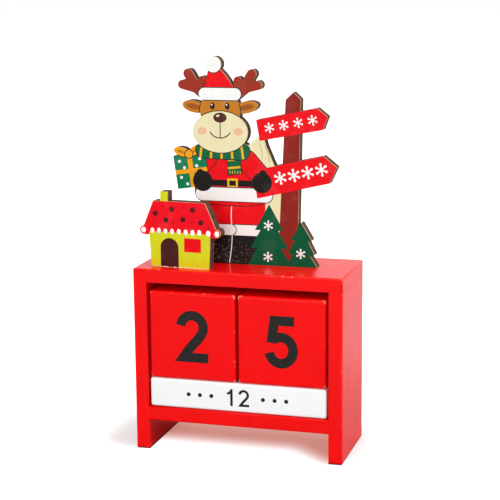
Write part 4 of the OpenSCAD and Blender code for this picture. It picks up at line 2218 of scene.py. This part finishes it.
@dataclass(frozen=True)
class Lamp:
    """A square soft light that faces the object.

    Attributes:
        name: Its name.
        at: Where it hangs.
        size: Its side.
        power: Its power in watts.
        aim_h: Height on the object's middle line that it faces.
    """

    name: str
    at: Triple
    size: float
    power: float
    aim_h: float = 90.0

    def build(self) -> None:
        """Hangs the lamp."""
        data = bpy.data.lights.new(self.name, "AREA")
        data.shape = "SQUARE"
        data.size = self.size * MM
        data.energy = self.power
        lamp = bpy.data.objects.new(self.name, data)
        lamp.location = MM * Vector(self.at)
        aim = MM * Vector((0, 0, self.aim_h)) - lamp.location
        lamp.rotation_mode = "QUATERNION"
        lamp.rotation_quaternion = aim.to_track_quat("-Z", "Y")
        bpy.context.scene.collection.objects.link(lamp)


@dataclass
class Studio:
    """White floor, soft light and the camera at the picture's angle.

    Attributes:
        eye: Place of the camera.
        lens: Its focal length.
        sensor: Width of its sensor.
        clip: Nearest and farthest distance that it sees, in metres.
        yaw: How far it looks to the left of straight ahead, in degrees.
        pitch: How far it looks down, in degrees.
        roll: Its turn about its line of sight, in degrees.
        lamps: The soft lights.
        fill_low: Strength of the surround's light from the level.
        fill_high: Strength of the surround's light from above.
        fill_turn: Height on the unit sphere at which it is full.
        floor_half: Half the floor's side.
        floor_grey: Colour by which the floor sends the lamps' light on.
        legs_in: Distance of a leg's inner side from the middle.
        legs_out: Distance of a leg's outer side from the middle.
        slant_from: Where the front of the shade under the shelf begins to slant.
        shade_left: Left end of the shade's core.
        shade_right: Right end of the shade's core.
        shade_front: Front of the shade's core beside the legs.
        shelf_front: Front of the shade's core under the shelf.
        shade_back: Rear of the shade's core.
        shade_fade: How far the shade fades round its core.
        open_shade: The floor's tone in the painted shade beside the legs.
        shelf_shade: The floor's tone in the painted shade under the shelf, tinted red as a painted bounce
            from the red boards.
        floor_sheen: Share of the white floor that the object's gloss shows.
        sheen_from: Distance from the object's middle at which that begins.
        sheen_full: Distance from the object's middle at which that is full.
    """

    eye: Triple = (202.0, -691.5, 245.5)
    lens: float = 104.4
    sensor: float = 36.0
    clip: Pair = (0.01, 50.0)
    yaw: float = 16.24
    pitch: float = 11.29
    roll: float = -0.51
    lamps: tuple[Lamp, ...] = (
        Lamp("key_light", (-140, -1500, 380), 900, 9.9),
        Lamp("top_light", (0, -150, 1300), 1100, 1.6),
        Lamp("side_light", (1050, -220, 700), 700, 8.0),
        Lamp("left_light", (-900, -400, 800), 700, 1.0),
    )
    fill_low: float = 0.25
    fill_high: float = 0.85
    fill_turn: float = 0.9
    floor_half: float = 6000.0
    floor_grey: Colour = (0.5, 0.5, 0.5, 1)
    legs_in: float = 46.0
    legs_out: float = 54.0
    slant_from: float = 20.0
    shade_left: float = -58.0
    shade_right: float = 40.0
    shade_front: float = -6.0
    shelf_front: float = 17.0
    shade_back: float = 24.0
    shade_fade: float = 30.0
    open_shade: Colour = (0.4, 0.41, 0.4, 1)
    shelf_shade: Colour = (0.46, 0.18, 0.14, 1)
    floor_sheen: float = 0.36
    sheen_from: float = 60.0
    sheen_full: float = 240.0

    def build(self) -> None:
        """Sets the stage."""
        self._camera()
        self._world()
        self._floor()
        for lamp in self.lamps:
            lamp.build()
        bpy.context.scene.view_settings.view_transform = "Standard"

    def _camera(self) -> None:
        """The camera."""
        yaw, pitch, roll = (math.radians(angle) for angle in (self.yaw, self.pitch, self.roll))
        level_ahead = math.cos(pitch)
        ahead = Vector((-math.sin(yaw) * level_ahead, math.cos(yaw) * level_ahead, -math.sin(pitch)))
        level = Vector((math.cos(yaw), math.sin(yaw), 0))
        upright = level.cross(ahead)
        right = math.cos(roll) * level + math.sin(roll) * upright
        above = math.cos(roll) * upright - math.sin(roll) * level
        data = bpy.data.cameras.new("camera")
        data.lens = self.lens
        data.sensor_width = self.sensor
        data.clip_start, data.clip_end = self.clip
        camera = bpy.data.objects.new("camera", data)
        turn = Matrix((right, above, -ahead)).transposed().to_4x4()
        camera.matrix_world = Matrix.Translation(MM * Vector(self.eye)) @ turn
        bpy.context.scene.collection.objects.link(camera)
        bpy.context.scene.camera = camera

    @staticmethod
    def _seen(graph: Graph, glossy: Value = 1.0) -> Socket:
        """How far a ray sees the white surround: fully from the camera and through glass.

        Args:
            graph: The nodes of the surround.
            glossy: Share for a ray that a glossy surface sends on.

        Returns:
            The share, which is 0 for the light's own rays.
        """
        rays = graph.node("ShaderNodeLightPath", output="Is Camera Ray")
        return rays.most(glossy * rays.sibling("Is Glossy Ray")).most(rays.sibling("Is Transmission Ray"))

    def _world(self) -> None:
        """A white surround that lights softly."""
        world = bpy.data.worlds.new("studio")
        world.use_nodes = True
        bpy.context.scene.world = world
        graph = Graph(world.node_tree)
        ways = graph.node("ShaderNodeTexCoord", output="Generated")
        height = graph.axes(ways)[2].rise(0.0, self.fill_turn)
        dome = self.fill_low + (self.fill_high - self.fill_low) * height
        seen = self._seen(graph)
        strength = seen + (1.0 - seen) * dome
        sky = graph.node("ShaderNodeBackground", values={"Color": PLAIN_WHITE, "Strength": strength})
        graph.node("ShaderNodeOutputWorld", values={"Surface": sky})

    def _tone(self, graph: Graph, x: Socket, y: Socket) -> Socket:
        """The white floor's tone: its glow, turned down in a painted shade round the legs and under the
        shelf.

        Args:
            graph: The floor's nodes.
            x: Place across, in metres.
            y: Place towards the rear, in metres.

        Returns:
            The tone, as a colour.
        """
        under = abs(x).rise(self.legs_out * MM, self.legs_in * MM)
        short = under * x.rise(self.legs_out * MM, self.slant_from * MM)
        front = MM * (self.shade_front + (self.shelf_front - self.shade_front) * short)
        beside = (x - self.shade_right * MM).most(self.shade_left * MM - x).most(0.0)
        beyond = (front - y).most(y - self.shade_back * MM).most(0.0)
        away = (beside * beside + beyond * beyond).rise(0.0, (self.shade_fade * MM) ** 2)
        # Painted shade in the floor's glow, tinted red under the shelf as a painted bounce from the red
        # boards.
        shade = graph.blend(under, self.open_shade, self.shelf_shade)
        return graph.blend(away, shade, PLAIN_WHITE)

    def _floor(self) -> None:
        """A white floor that keeps the object's shadow, with a painted shade in its glow round the legs and
        under the shelf.
        """
        half = self.floor_half * MM
        corners = [(-half, -half, 0), (half, -half, 0), (half, half, 0), (-half, half, 0)]
        mesh = bpy.data.meshes.new("floor")
        mesh.from_pydata(corners, [], [(0, 1, 2, 3)])
        graph = MaterialGraph("floor_white")
        matt = graph.node("ShaderNodeBsdfDiffuse", values={"Color": self.floor_grey})
        x, y, _ = graph.axes(graph.place())
        glow = graph.node("ShaderNodeEmission", values={"Color": self._tone(graph, x, y), "Strength": 1.0})
        lit = graph.node("ShaderNodeAddShader", values={0: matt, 1: glow})
        far = (x * x + y * y).rise((self.sheen_from * MM) ** 2, (self.sheen_full * MM) ** 2)
        seen = self._seen(graph, self.floor_sheen * far)
        mixed = graph.node("ShaderNodeMixShader", values={0: seen, 1: matt, 2: lit})
        mesh.materials.append(graph.end(mixed))
        floor = bpy.data.objects.new("floor", mesh)
        bpy.context.scene.collection.objects.link(floor)


def main() -> None:
    """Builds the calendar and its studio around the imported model."""
    logging.basicConfig(level=logging.INFO, format="%(name)s: %(message)s")
    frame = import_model()
    Calendar(frame["nodes"]).build()
    Studio().build()


if __name__ == "__main__":
    main()
